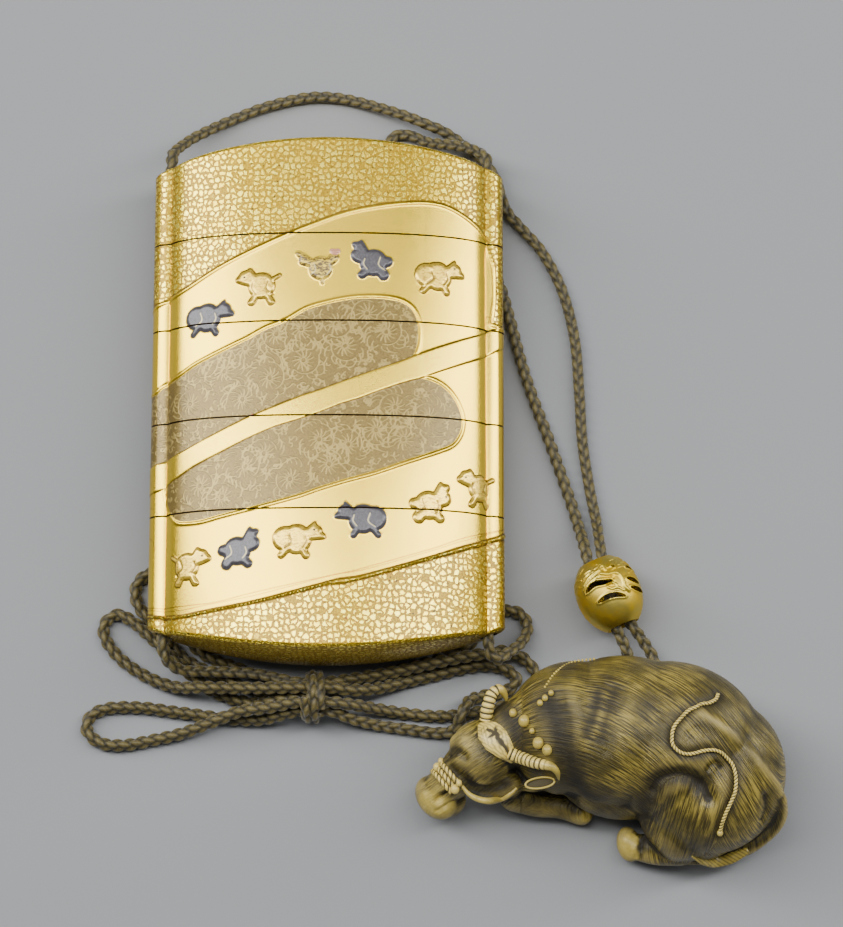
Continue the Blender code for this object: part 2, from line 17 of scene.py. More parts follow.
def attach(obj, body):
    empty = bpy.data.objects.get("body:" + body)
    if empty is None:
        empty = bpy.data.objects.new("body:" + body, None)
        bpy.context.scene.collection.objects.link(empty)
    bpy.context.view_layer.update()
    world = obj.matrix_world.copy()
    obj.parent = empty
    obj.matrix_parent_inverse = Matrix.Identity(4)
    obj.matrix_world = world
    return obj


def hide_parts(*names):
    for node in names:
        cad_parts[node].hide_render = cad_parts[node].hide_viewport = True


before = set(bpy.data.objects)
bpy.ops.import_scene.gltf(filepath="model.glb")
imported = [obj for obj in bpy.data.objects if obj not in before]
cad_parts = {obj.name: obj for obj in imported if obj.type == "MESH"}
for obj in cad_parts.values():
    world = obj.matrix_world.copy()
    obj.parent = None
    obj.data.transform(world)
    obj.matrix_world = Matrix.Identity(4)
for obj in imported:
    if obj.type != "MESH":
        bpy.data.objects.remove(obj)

bl_info = {
    "name": "Inro with cord, bead and ox",
    "version": (1, 0, 0),
    "blender": (4, 5, 0),
    "location": "3D View > Sidebar > Inro",
    "description": "Builds a stacked lacquer case, its braided cord, a pierced bead and a carved ox",
    "category": "Add Mesh",
}

MM = 0.001

# Case, repeated from the source of the solids, in millimetres
CASE_THICK = 18.5
BODY_WIDTH = 52.8
OVAL_POWER = 2.2
FLAT_DEPTH = 0.3
CORD_DIAMETER = 2.1
CHANNEL_DIAMETER = 2.7
RUNNER_OFFSET = 26.0
RUNNER_RADIUS = 2.5
POCKET_HALF_WIDTH = 23.65
SKIN = 1.2
FIT = 0.3
RISER_WALL = 0.9
RISER_HEIGHT = 5.4
FLOOR = 1.5
END_RISE = 4.5
END_BULGE = 1.3
END_EDGE = 0.4
SEAM = 0.07
SEAM_EDGE = 0.07
LID_TOP = 37.3
TOP_CASE_TOP = 25.6
SECOND_CASE_TOP = 11.0
SECOND_CASE_BASE = -4.6
BOTTOM_CASE_TOP = -19.7
BOTTOM_CASE_BASE = -37.3
MIDDLE = (CASE_THICK + FLAT_DEPTH) / 2 - FLAT_DEPTH
HALF_THICK = (CASE_THICK + FLAT_DEPTH) / 2
ROOF = RISER_HEIGHT + FIT
OUTLINE_STEPS = 6000
RUNNER_STEPS = 500
RUNNER_STEP = 0.22
BACK_STEP = 0.6
CAP_ROWS = 27
CAP_OFFSET = 60

# Decoration
SHEET_STEP = 0.1
SHEET_HEIGHT = 46.0
FAR = 9.0
CURVE_STEP = 0.3
SILHOUETTE_STEPS = 72
VINE_CURLS = 2600

# Camera
VIEW_ELEVATION = radians(77.5)
VIEW_TARGET = Vector((15.24, -8.44, 0.0)) * MM
VIEW_DISTANCE = 0.520
VIEW_LENS = 122.6
SENSOR_WIDTH = 36
FRAME_WIDTH, FRAME_HEIGHT = 843, 927

# Braid
BRAID_COLUMNS = 4
BRAID_PITCH = 2.0
BRAID_SLANT = 0.9
BRAID_SIDES = 28
BRAID_STEP = 0.18

BINDING_AXIS = (-47.8, 4.45)
BINDING_MIDDLE = -2.1
BINDING_WIDTH = 2.3
BINDING_RADII = (3.35, 3.3)
BINDING_POINTS = 120
BINDING_START = 100
BINDING_STEP = 6.3
BINDING_REACH = 3

# The cord's stretches, from the source of the solids, in millimetres
ROUTES = {
    "cord_left_strand": (
        (-26, 34, 9.15), (-26, 40.3, 9.1), (-25.9, 42.4, 8.0), (-24.8, 44.3, 5.9), (-22.3, 46.9, 3.5),
        (-17, 50.3, 1.3), (-11.3, 52.7, 1.2), (-5.2, 54.3, 1.2), (-1, 54.6, 1.2), (3.4, 54, 1.2),
        (8.3, 52.3, 2.2), (12.5, 50.5, 3.5), (16.0, 48.9, 3.9), (19.2, 47.8, 2.8), (22.4, 45.9, 1.4),
        (25.4, 43.3, 1.2), (27.6, 40.4, 1.2), (28.6, 36.9, 1.2), (29.7, 34.2, 1.2), (32.0, 31.4, 1.2),
        (35.4, 27.3, 1.2), (38.6, 20.8, 1.2), (40.6, 12.5, 1.2), (41.3, 3, 1.2), (41.7, -5, 1.2),
        (42.8, -13, 1.2), (43.8, -18.6, 1.9), (44.2, -22.8, 4.3), (44.65, -26.1, 5.3), (45.5, -28.3, 5.35)),
    "cord_right_strand": (
        (26, 34, 9.15), (26, 40.3, 9.1), (25.1, 42.3, 8.1), (22.8, 44.0, 6.3), (19.4, 45.2, 4.2),
        (16.2, 46.4, 1.9), (13.4, 47.8, 1.2), (11.0, 47.8, 1.2), (9.9, 46.2, 1.2), (10.9, 44.5, 1.2),
        (13.4, 43.7, 1.2), (17, 43.0, 1.2), (20.6, 41.3, 1.2), (23.2, 38.0, 1.2), (24.3, 33, 1.2),
        (25.8, 27, 1.2), (28.4, 21.2, 1.2), (30.1, 15, 1.2), (31.7, 8.6, 1.2), (33.6, 2.4, 1.2),
        (35.7, -3.4, 1.2), (37.7, -9.2, 1.2), (39.6, -15, 1.2), (40.9, -19.6, 2.0), (41.7, -23.4, 4.3),
        (42.5, -27.0, 5.3), (43.35, -29.2, 5.35)),
    "cord_netsuke_strand_a": (
        (45.6, -34.3, 5.35), (46.4, -36.4, 5.3), (47.9, -39.3, 4.1), (48.9, -42.0, 3.2), (49.4, -44.5, 3.1),
        (49.5, -47.0, 3.4), (49.5, -50.6, 3.4)),
    "cord_netsuke_strand_b": (
        (47.75, -33.3, 5.35), (48.6, -35.5, 5.3), (50.8, -38.4, 4.1), (52.7, -41.4, 3.2), (53.4, -44.3, 3.1),
        (53.6, -47.0, 3.4), (53.6, -50.6, 3.4)),
    "cord_case_left_end": (
        (-26, -34, 9.15), (-26, -40.3, 9.1), (-25.3, -42.5, 7.9), (-23.3, -43.7, 6.0), (-20, -43.7, 4.6),
        (-16, -43.7, 3.7), (-12, -43.9, 3.7), (-8, -44.7, 4.1), (-5.0, -45.4, 4.4)),
    "cord_loop_upper_left": (
        (-5.0, -46.6, 6.5), (-8, -46.6, 6.1), (-12, -46.5, 5.1), (-16, -46.4, 4.6), (-20, -46.3, 4.6),
        (-24.6, -45.9, 2.3), (-29.2, -44.1, 1.2), (-33.4, -41.3, 1.2), (-36.0, -38.0, 1.2),
        (-36.2, -35.4, 1.2), (-34.2, -33.9, 1.2), (-31.6, -35.2, 2.1), (-28.3, -38.2, 3.2),
        (-24.8, -41.4, 3.2), (-21.1, -44.7, 2.3), (-17.8, -46.8, 1.2), (-12, -48.5, 1.9), (-8, -48.1, 3.9),
        (-5.0, -47.8, 4.4)),
    "cord_loop_under_left": (
        (-5.0, -46.6, 2.3), (-8, -45.2, 1.2), (-12, -43.6, 1.2), (-15.6, -42.3, 1.2), (-19, -41.0, 1.2),
        (-22, -38.7, 1.2), (-23.4, -35.6, 1.2), (-23.8, -32.2, 1.2), (-24.6, -29.0, 1.2), (-26.8, -27.0, 1.2),
        (-29.4, -27.2, 1.2), (-31.2, -29.2, 1.2), (-31.0, -32.0, 1.2), (-29.0, -34.9, 1.2),
        (-26.3, -38.0, 1.2), (-23.4, -41.0, 1.2), (-19.5, -43.2, 1.2), (-16, -44.8, 1.2), (-12, -46.1, 1.2),
        (-8, -47.6, 1.2), (-5.0, -49.0, 2.3)),
    "cord_loop_lower_left": (
        (-5.0, -49.0, 6.5), (-9.2, -49.7, 5.5), (-14.0, -50.2, 4.3), (-18.3, -51.7, 3.3), (-23.0, -53.3, 2.0),
        (-27.6, -54.3, 1.2), (-32.8, -55.2, 1.2), (-36.6, -54.8, 1.2), (-38.7, -52.8, 1.2),
        (-38.1, -50.5, 1.2), (-35.2, -49.2, 1.2), (-30.0, -49.1, 1.2), (-25.4, -49.7, 1.2),
        (-20.8, -50.3, 1.2), (-15.6, -51.0, 1.2), (-10.6, -51.2, 2.2), (-7.6, -50.7, 3.6), (-5.0, -50.2, 4.4)),
    "cord_loop_outer_right": (
        (0.8, -45.4, 4.4), (4.4, -44.8, 4.0), (8.4, -44.1, 3.6), (12.8, -43.2, 3.4), (17.1, -42.2, 3.4),
        (21.4, -41.3, 3.4), (25.4, -40.6, 3.3), (28.9, -40.1, 2.6), (31.6, -41.0, 1.6), (33.4, -42.9, 1.2),
        (33.9, -45.2, 1.2), (32.6, -47.2, 1.2), (29.6, -48.6, 1.2), (25.6, -49.6, 1.2), (21.6, -50.3, 1.2),
        (17.4, -50.5, 1.2), (12.9, -50.1, 1.2), (8.6, -49.6, 2.5), (4.4, -49.2, 5.0), (0.8, -49.0, 6.5)),
    "cord_loop_inner_right": (
        (0.8, -46.6, 6.5), (4.4, -46.9, 5.5), (8.4, -46.3, 3.8), (12.7, -45.0, 2.1), (17.1, -43.9, 1.2),
        (21.4, -42.8, 1.2), (25.0, -42.2, 1.2), (28.1, -42.6, 1.2), (30.4, -44.0, 1.2), (30.0, -45.7, 1.2),
        (27.8, -46.7, 1.2), (25.2, -47.2, 1.2), (23.0, -48.2, 3.0), (21.8, -50.4, 4.5), (20.6, -52.8, 2.5),
        (17.6, -53.2, 1.2), (12.9, -52.6, 1.2), (8.4, -52.0, 1.2), (4.0, -51.2, 3.0), (0.8, -50.2, 4.4)),
    "cord_case_right_end": (
        (0.8, -46.6, 2.3), (4.6, -45.3, 1.2), (8.4, -43.8, 1.2), (13.0, -42.6, 1.2), (17.4, -41.5, 1.2),
        (21.2, -40.1, 1.2), (24.2, -37.6, 1.2), (26.4, -34.8, 1.2), (28.9, -33.2, 1.2), (31.4, -33.9, 1.3),
        (32.4, -36.2, 2.2), (31.4, -38.9, 4.2), (29.2, -41.0, 6.3), (27.2, -42.2, 7.9), (26, -40.3, 9.1),
        (26, -34, 9.15)),
}

# The same cord as pieces: each runs through what its stretches run through
RUNS = {
    "braid_left_strand": ("cord_left_strand", "cord_netsuke_strand_a"),
    "braid_right_strand": ("cord_right_strand", "cord_netsuke_strand_b"),
    "braid_case_left_end": ("cord_case_left_end",),
    "braid_upper_left_loop": ("cord_loop_upper_left",),
    "braid_under_left_loop": ("cord_loop_under_left",),
    "braid_lower_left_loop": ("cord_loop_lower_left",),
    "braid_outer_right_loop": ("cord_loop_outer_right",),
    "braid_inner_right_loop": ("cord_loop_inner_right",),
    "braid_case_right_end": ("cord_case_right_end",),
}

# Decoration on the opened-out outside of the case: arc from the middle of the face and height, in
# millimetres. Shapes are closed, lines are open
SASH_TOP = (
    (-63.5, 0), (-50, 6), (-36, 12.6), (-31.3, 15.1), (-27.4, 16.4), (-23.2, 17.8), (-16.6, 21.2),
    (-8.2, 25), (-2.8, 27.2), (3, 29.3), (8.9, 30.6), (14.9, 31.4), (19, 31.2), (22.3, 30), (25.7, 28.1),
    (27.7, 26.2), (27.8, 25.8), (28.6, 23.3), (29.1, 21.3), (29.2, 16.8), (28.8, 13.4),
)
SASH_BOTTOM = (
    (-63.5, -28), (-50, -33), (-36, -35.3), (-31.4, -35.4), (-27.4, -36), (-23.5, -36.2), (-20, -35.8),
    (-15.1, -35.1), (-11, -34.4), (-6, -33.2), (-1, -31.9), (2.4, -31), (5.3, -30.6), (11.3, -28.9),
    (17.5, -26.9), (21.8, -25.3), (27.7, -23.4), (31.2, -22.2), (36, -21.2), (50, -24), (63.5, -28),
)
SASH_LOW = (
    (-63.5, -29.1), (-50, -34.1), (-36, -35.9), (-31.2, -36), (-27.4, -36.6), (-23.3, -36.8),
    (-18.1, -36.2), (-13.1, -35.4), (-9, -34.6), (-4, -33.4), (0.1, -32.3), (3.3, -31.9), (9.3, -30.3),
    (15.4, -28.3), (20.7, -26.6), (27.5, -24.3), (31.2, -23.2), (36, -22.2), (50, -25.1), (63.5, -29.1),
)
SASH_FINE = (
    (-36, -34.2), (-30.9, -34.4), (-27.1, -34.8), (-21.6, -34.8), (-17.2, -34.5), (-12.1, -33.4),
    (-6, -32.1), (-1, -31), (2.4, -30.3), (5.3, -29.6), (11.3, -27.8), (17.5, -25.8), (23, -23.7),
    (30.5, -21.7),
)
SCROLL_CURL = (
    (28.8, 13.4), (28.1, 12.1), (27.3, 12.6), (27.5, 13.3), (28.1, 13.3), (28.4, 12.8), (27.9, 12.4),
)
PANEL_UPPER = (
    (-36, -0.6), (-31.3, 0.2), (-29.4, 0.5), (-27.7, 1.6), (-24.4, 2.7), (-21.4, 4.2), (-18.3, 5.5),
    (-15, 6.9), (-12.3, 8.1), (-9.7, 9.5), (-6.3, 10.8), (-3.2, 12.6), (0, 13.6), (3.2, 14.3), (6, 14.6),
    (9.1, 14.6), (11.7, 14.2), (13.4, 13.3), (14.3, 12), (14.7, 10.2), (14.7, 8), (14.4, 6.6), (13.8, 5.3),
    (12.1, 4.5), (7.6, 2.8), (3.3, 1.2), (-0.9, -0.4), (-4, -1.4), (-9.4, -3.5), (-13.1, -5), (-17.9, -7.2),
    (-22.9, -9.4), (-27.5, -10.8), (-31, -11.5), (-36, -12.6), (-39, -11), (-40, -6.5), (-38.5, -2),
)
PANEL_LOWER = (
    (-27.1, -14.9), (-24.1, -13.7), (-21.6, -12.4), (-17, -10.4), (-12.6, -8.3), (-8.3, -6.5), (-4, -5.2),
    (-0.8, -4.1), (2.3, -2.8), (5.5, -1.8), (8.7, -0.5), (11.9, 0.7), (14.8, 1.6), (16.3, 1.5), (18.3, 0.8),
    (19.9, -0.4), (21.2, -2.1), (22, -4), (22, -5.8), (21.4, -7.4), (20.3, -8.7), (18.5, -9.6),
    (15.4, -10.8), (11.9, -12.1), (7.6, -13.7), (3.4, -14.9), (-0.8, -16.2), (-3.9, -17.3), (-7.1, -18.2),
    (-10.3, -19), (-13.5, -19.7), (-16.8, -20.4), (-20.2, -21.1), (-23.2, -21.1), (-24.8, -20.6),
    (-26.2, -19.1), (-27.1, -17.2),
)
STRIPE = (
    (13.8, 5.3), (12.1, 4.5), (7.6, 2.8), (3.3, 1.2), (-0.9, -0.4), (-4, -1.4), (-9.4, -3.5), (-13.1, -5),
    (-17.9, -7.2), (-22.9, -9.4), (-27.5, -10.8), (-31, -11.5), (-36, -12.6), (-36, -17.5), (-31, -16),
    (-28.5, -15.5), (-27.1, -14.9), (-24.1, -13.7), (-21.6, -12.4), (-17, -10.4), (-12.6, -8.3),
    (-8.3, -6.5), (-4, -5.2), (-0.8, -4.1), (2.3, -2.8), (5.5, -1.8), (8.7, -0.5), (11.9, 0.7), (14.8, 1.6),
    (18.5, 3.1), (23.2, 5), (27.7, 6.8), (29.1, 7.7), (33, 9.2), (33, 13.2), (29.6, 11.7), (26, 10.1),
    (22, 8.6), (17.4, 6.8),
)


def silhouette(u, v, forms, side=1):
    """The outline round overlapping discs, each given by its place and radius, seen from the first."""
    outline = []
    for angle in np.linspace(0, 2 * pi, SILHOUETTE_STEPS, endpoint=False):
        reach = 0
        for across, up, size in forms:
            ahead = across * cos(angle) + up * sin(angle)
            aside = up * cos(angle) - across * sin(angle)
            if abs(aside) < size:
                reach = max(reach, ahead + (size ** 2 - aside ** 2) ** 0.5)
        outline.append((u + side * reach * cos(angle), v + reach * sin(angle)))
    return tuple(outline)


# Generic animals as discs, facing right, and where they lie on the sash: arc, height, form and side
HARE = ((0, 0, 2.3), (2.4, 1.2, 1.3), (2.0, 3.2, 0.6), (3.0, 3.0, 0.55), (-2.3, 0.2, 0.9), (1.8, -2.0, 0.8),
        (-1.6, -2.0, 1.0))
DOG = ((0, 0, 2.2), (2.6, 1.4, 1.25), (3.7, 1.1, 0.6), (1.9, 2.5, 0.5), (-2.7, 1.6, 0.5), (1.6, -2.6, 0.7),
       (-1.5, -2.6, 0.7))
CALF = ((0, 0, 2.4), (-1.8, 0.1, 2.0), (2.9, 1.1, 1.2), (3.9, 0.4, 0.7), (1.5, -2.6, 0.6), (-2.4, -2.5, 0.6),
        (2.7, 2.5, 0.4))
COMB = ((0, 0, 0.5), (-0.5, 0.2, 0.35), (0.5, 0.2, 0.35))
BIRD = ((0, 0, 2.0), (2.1, 1.7, 0.9), (-2.6, 1.3, 1.0), (-3.5, 2.3, 0.6), (0.3, -2.4, 0.4))
SLATE_PLACES = ((-19.5, 12.0, CALF, 1), (7.5, 20.6, HARE, -1), (-14.0, -26.5, HARE, 1), (6.0, -21.5, CALF, -1))
GOLD_PLACES = ((-10.5, 16.8, DOG, -1), (18.0, 18.8, CALF, 1), (-22.5, -28.5, DOG, 1), (-4.5, -24.8, CALF, 1),
               (16.5, -19.0, HARE, 1), (25.5, -15.5, DOG, -1))
BIRD_PLACE = (-1.0, 19.6)
SLATE_SHAPES = tuple(silhouette(*place) for place in SLATE_PLACES)
GOLD_SHAPES = tuple(silhouette(*place) for place in GOLD_PLACES)
FEATHER_SHAPES = (silhouette(*BIRD_PLACE, BIRD),)
ROSE_SHAPES = (silhouette(BIRD_PLACE[0] + 2.3, BIRD_PLACE[1] + 2.7, COMB),)


def coat_strokes(places):
    """A haunch curl and a shoulder curl in each animal."""
    return tuple(stroke for u, v, _, side in places for stroke in (
        ((u - side * 1.9, v - 1.3), (u - side * 0.8, v - 0.4), (u - side * 1.1, v + 0.9)),
        ((u + side * 1.0, v - 1.2), (u + side * 1.6, v - 0.3), (u + side * 1.4, v + 0.6))))


DARK_STROKES = coat_strokes(GOLD_PLACES)
PALE_STROKES = coat_strokes(SLATE_PLACES + ((*BIRD_PLACE, BIRD, 1),))
RED_STROKES = (((-30.9, -18.0), (-29.4, -18.6), (-28.4, -20.0)), ((-30.9, -23.0), (-29.6, -23.8), (-29.2, -25.4)))
EYES = (*((u + side * 2.8, v + 1.5) for u, v, _, side in GOLD_PLACES),
        (BIRD_PLACE[0] + 2.4, BIRD_PLACE[1] + 1.8))
RED_MARKS = ((-15, 40.7), (-11.8, -4.4), (28.1, -24.4), (3.4, -37.4), (28.9, -38.1))
FLOWERS = ((-20.1, 4.4), (-13.0, 6.6), (-8.0, 8.8), (-16.5, 3.0), (-4.0, 9.6), (1.6, 10.4), (6.5, 12.2),
           (-22.4, -2.0), (-9.0, 1.6), (-3.6, 4.4), (3.0, 6.8), (9.6, 9.2), (-13.4, -1.8), (-20.4, -15.6),
           (-12.8, -12.8),
           (-9.8, -10.8), (-5.6, -15.0), (-1.0, -8.6), (3.6, -9.4), (8.0, -7.0), (12.4, -8.4), (16.4, -4.6),
           (11.0, -3.2), (0.6, -12.6), (-16.6, -17.6), (-30.4, -5.4))

# Ox, forms on its own grid in millimetres: balls are centre, radii and turn about z; limbs are stops
# of x, y, z and radius
OX_PLACE = (44.0, -59.0, 0.0)
OX_VOXEL = 0.27
OX_BALLS = (
    ((-4.5, 5.0, 11.5), (11.0, 10.8, 11.5), 0),
    ((3.0, 4.6, 12.0), (14.0, 12.0, 12.2), 0),
    ((11.0, 3.0, 12.0), (14.5, 12.6, 12.2), -15),
    ((17.0, -2.2, 10.8), (11.6, 12.6, 11.0), -20),
    ((3.4, -0.2, 8.5), (11.6, 8.8, 8.5), 0),
    ((-9.0, 2.0, 7.2), (7.0, 6.2, 7.2), 0),
    ((14.5, -7.6, 8.2), (9.0, 7.8, 8.2), 0),
    ((11.4, -9.0, 9.0), (4.6, 6.6, 6.6), 8),
    ((-19.0, 1.4, 11.6), (5.4, 5.2, 4.4), 0),
    ((-17.6, -2.6, 8.6), (5.2, 3.2, 4.6), -12),
    ((-23.4, -1.6, 8.4), (3.6, 3.0, 3.4), 40),
    ((-26.5, -5.2, 6.1), (2.9, 3.9, 3.5), 38),
    ((-24.4, -6.0, 4.6), (3.0, 2.2, 2.6), 30),
    ((-22.6, 2.8, 12.0), (1.8, 1.6, 1.8), 0),
    ((-18.4, -1.9, 12.4), (2.0, 1.8, 2.0), 0),
    ((4.3, -12.3, 3.1), (1.95, 2.9, 2.8), 12),
    ((-19.0, -2.6, 11.3), (2.9, 2.0, 2.3), -25),
    ((-10.6, -3.2, 9.4), (2.9, 1.5, 1.3), 10),
)
OX_LIMBS = (
    ((-4.0, 6.0, 12.0, 9.0), (-9.0, 5.2, 12.4, 7.2), (-13.5, 4.2, 12.6, 5.4)),
    ((-16.5, 3.0, 12.0, 4.6), (-19.5, 1.0, 11.0, 4.4), (-22.5, -1.5, 9.2, 3.6), (-25.3, -3.6, 7.6, 3.0)),
    ((-13.6, -4.4, 4.6, 3.0), (-10.0, -5.7, 3.7, 2.4), (-6.5, -6.2, 3.2, 2.1), (-3.2, -7.4, 2.5, 1.9)),
    ((12.0, -12.4, 5.4, 3.6), (8.6, -13.2, 4.6, 2.6), (5.6, -12.9, 4.0, 2.1)),
    ((22.4, -1.2, 18.4, 1.8), (26.2, -5.8, 13.4, 1.9),
     (26.9, -9.0, 9.6, 1.8), (23.4, -12.4, 5.8, 1.6), (18.6, -14.0, 4.0, 1.6), (13.6, -14.5, 2.6, 1.1)),
)

# Lines on the ox, as places in the photograph's frame, with their depth and half width in millimetres
OX_ROPE = ((718, 694), (716, 699), (709, 703), (702, 704), (696, 707), (688, 711), (680, 719), (674, 727),
           (672, 736), (673, 745), (680, 752), (688, 754), (696, 753), (703, 751), (712, 750), (720, 752),
           (726, 757), (732, 764), (735, 772), (736, 781), (735, 792), (731, 802), (726, 813), (722, 824),
           (720, 833))
OX_LINES = (
    (((640, 828), (642, 838), (641, 848), (638, 857)), -0.35, 0.6),
    (OX_ROPE, -0.30, 0.75),
    (((700, 711), (706, 717), (720, 726), (737, 740), (752, 756), (766, 773), (777, 787), (783, 802)), 0.55, 1.1),
    (((652, 792), (657, 783), (667, 778), (680, 776), (692, 779), (702, 787), (708, 798)), -1.0, 1.3),
    (((611, 688), (607, 705), (602, 722), (599, 738)), -0.30, 0.9),
    (((622, 690), (617, 712), (611, 735), (606, 752)), -0.22, 0.8),
    (((596, 700), (592, 715), (590, 726)), -0.22, 0.7),
    (((709, 770), (711, 766), (716, 764), (721, 768)), -0.45, 0.5),
    (((764, 820), (768, 808), (766, 798)), -0.5, 0.9),
    (((556, 700), (562, 720), (563, 745), (566, 775), (570, 800)), -0.7, 1.6),
    (((690, 733), (697, 728), (703, 733)), -0.25, 0.6),
    (((437, 800), (443, 796), (450, 792)), -0.75, 0.45),
    (((437, 811), (446, 806), (455, 801)), -0.35, 0.4),
    (((452, 770), (462, 778), (474, 786), (488, 789), (502, 786)), -0.55, 0.9),
    (((448, 756), (456, 752), (464, 756)), -0.5, 0.7),
    (((637, 828), (639, 840), (641, 850)), -0.4, 0.35),
    (((586, 812), (588, 818)), -0.3, 0.3),
    (((758, 846), (768, 838), (777, 822), (781, 800)), -0.5, 0.7),
)
# Stains on the ox, as places in the same frame as the lines, with width and strength; the last two rows are painted
# shade along the far flank beyond the spine
OX_STAINS_AND_SHADE = (
    (OX_ROPE, 1.5, 0.85),
    (((546, 702), (556, 722), (564, 748), (572, 772), (584, 792)), 3.0, 1.0),
    (((598, 692), (594, 712), (586, 734)), 1.2, 0.9),
    (((614, 690), (608, 712), (601, 738)), 1.1, 0.8),
    (((648, 800), (656, 785), (668, 777), (684, 776), (698, 783)), 2.2, 1.0),
    (((644, 800), (638, 822), (644, 840)), 1.6, 0.95),
    (((452, 770), (464, 781), (478, 789), (494, 790), (508, 784)), 1.2, 0.95),
    (((455, 748), (447, 760), (441, 768)), 1.2, 0.8),
    (((516, 735), (524, 752), (534, 768)), 1.6, 0.9),
    (((500, 706), (512, 720), (522, 735)), 1.8, 0.9),
    (((455, 765), (464, 770), (470, 778)), 1.0, 0.7),
    (((520, 802), (545, 803), (570, 806)), 1.0, 0.5),
    (((745, 850), (762, 842), (775, 825), (780, 800)), 1.0, 0.8),
    (((690, 716), (700, 722), (712, 735)), 1.2, 0.5),
    (((437, 800), (450, 792)), 0.7, 0.9),
    (((637, 828), (642, 843), (636, 857)), 0.7, 0.9),
    (((672, 694), (655, 700), (640, 716)), 1.6, 0.35),
    (((700, 672), (730, 690), (756, 716)), 2.0, 0.4),
)
OX_TINTS = (((416, 800), 3.0), ((430, 806), 3.2), ((445, 812), 3.2), ((590, 816), 1.9),
            ((624, 850), 2.6), ((631, 840), 1.6), ((628, 855), 2.2))

# Horns, as places in the photograph's frame with a height or a rise
HORN_PITCH = 0.82
FAR_HORN = ((486, 720, 14.6), (487, 711, 15.2), (489, 702, 15.6), (492, 694, 15.6), (498, 689, 15.4),
            (503, 692, 15.0), (506, 698, 14.4), (507, 704, 13.8))
NEAR_HORN = ((509, 753, 0.6), (519, 757, 0.8), (527, 760, 0.9), (536, 763, 0.9), (545, 765, 0.9),
             (552, 767, 0.8), (557, 772, 0.7), (559, 780, 0.5))

# Bead, in millimetres and as places in the photograph's frame
BEAD_CENTRE = (45.5, -31.2, 5.35)
BEAD_RADIUS = 5.3
BEAD_HALF = 5.7
BEAD_MOUTH = 2.7
BEAD_TURN = radians(22.8)
BEAD_WALL = 0.55
BEAD_SLOTS = (((585.5, 593.5), (594, 584.5), (604, 582), (613, 580)),
              ((598, 603), (607, 597), (617, 594.5), (626, 596)),
              ((627, 577.5), (633, 579), (639, 583)), ((631, 586.5), (636, 588), (642, 592.5)),
              ((624.5, 567), (628, 567.5), (631.5, 570)), ((611, 566), (611.8, 566.4), (612.6, 566.8)))
BEAD_SLOT_HALF = (0.42, 0.36, 0.36, 0.34, 0.22, 0.2)
BEAD_STEM = ((601, 573.5), (608, 574), (614, 572.5), (619, 574), (623, 579), (625, 586), (629, 590))
BEAD_TENDRILS = (((607, 585), (612, 582.5), (617, 585), (613, 588), (608, 587)),
                 ((612, 589), (618, 587), (624, 590)),
                 ((602, 573), (599, 569), (602, 566), (605, 570)), ((584, 586), (590, 577), (599, 570)),
                 ((583, 591), (589, 583), (598, 576)), ((618, 564), (623, 562), (628, 565)),
                 ((607, 562), (613, 559), (619, 560)))


# Shared mesh tools


def baked(bm, name):
    """The bmesh as a new mesh."""
    mesh = bpy.data.meshes.new(name)
    bm.to_mesh(mesh)
    bm.free()
    return mesh


def vertex_vectors(mesh, normals=False):
    """The places of a mesh's vertices, or their normals."""
    flat = np.empty(len(mesh.vertices) * 3, dtype=np.float32)
    if normals:
        mesh.vertex_normals.foreach_get("vector", flat)
    else:
        mesh.vertices.foreach_get("co", flat)
    return flat.reshape(-1, 3)


def moved(mesh, points):
    """Moves a mesh's vertices to the points."""
    mesh.vertices.foreach_set("co", points.astype(np.float32).ravel())
    mesh.update()


def woven(name, points, values=None, tube=True):
    """A grid of quads over rows of points, closed round if it is a tube, with the rows' values."""
    rows, columns = points.shape[:2]
    wide = columns if tube else columns - 1
    bm = bmesh.new()
    bmesh.ops.create_grid(bm, x_segments=wide, y_segments=rows - 1, size=1)
    mesh = baked(bm, name)
    flat = vertex_vectors(mesh)
    column = np.rint((flat[:, 0] + 1) / 2 * wide).astype(int) % columns
    row = np.rint((flat[:, 1] + 1) / 2 * (rows - 1)).astype(int)
    mesh.vertices.foreach_set("co", (points[row, column] * MM).astype(np.float32).ravel())
    for label, field in (values or {}).items():
        store(mesh, label, field[row, column])
    return mesh


def store(mesh, label, field):
    """Stores one number, or one vector, on each vertex."""
    vector = field.ndim == 2
    layer = mesh.attributes.new(label, "FLOAT_VECTOR" if vector else "FLOAT", "POINT")
    layer.data.foreach_set("vector" if vector else "value", field.astype(np.float32).ravel())


def closed(mesh):
    """Joins the grid's two long edges and closes its open ends by fans."""
    bm = bmesh.new()
    bm.from_mesh(mesh)
    rim = [vert for vert in bm.verts if vert.is_boundary]
    bmesh.ops.remove_doubles(bm, verts=rim, dist=1e-7)
    left = {edge for edge in bm.edges if edge.is_boundary}
    caps = []
    while left:
        ring = [left.pop()]
        ahead = ring[0].verts[1]
        while ahead != ring[0].verts[0]:
            edge = next(edge for edge in ahead.link_edges if edge in left)
            left.discard(edge)
            ring.append(edge)
            ahead = edge.other_vert(ahead)
        caps += bmesh.ops.contextual_create(bm, geom=ring)["faces"]
    bmesh.ops.poke(bm, faces=caps)
    bmesh.ops.recalc_face_normals(bm, faces=bm.faces)
    bm.to_mesh(mesh)
    bm.free()
    return mesh


def piece(name, mesh, material, crease=None):
    """Links a finished mesh as a piece that rides on the object."""
    mesh.shade_smooth()
    if crease is not None:
        mesh.set_sharp_from_angle(angle=crease)
    obj = bpy.data.objects.new(name, mesh)
    bpy.context.scene.collection.objects.link(obj)
    mesh.materials.append(material)
    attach(obj, "root")
    return obj


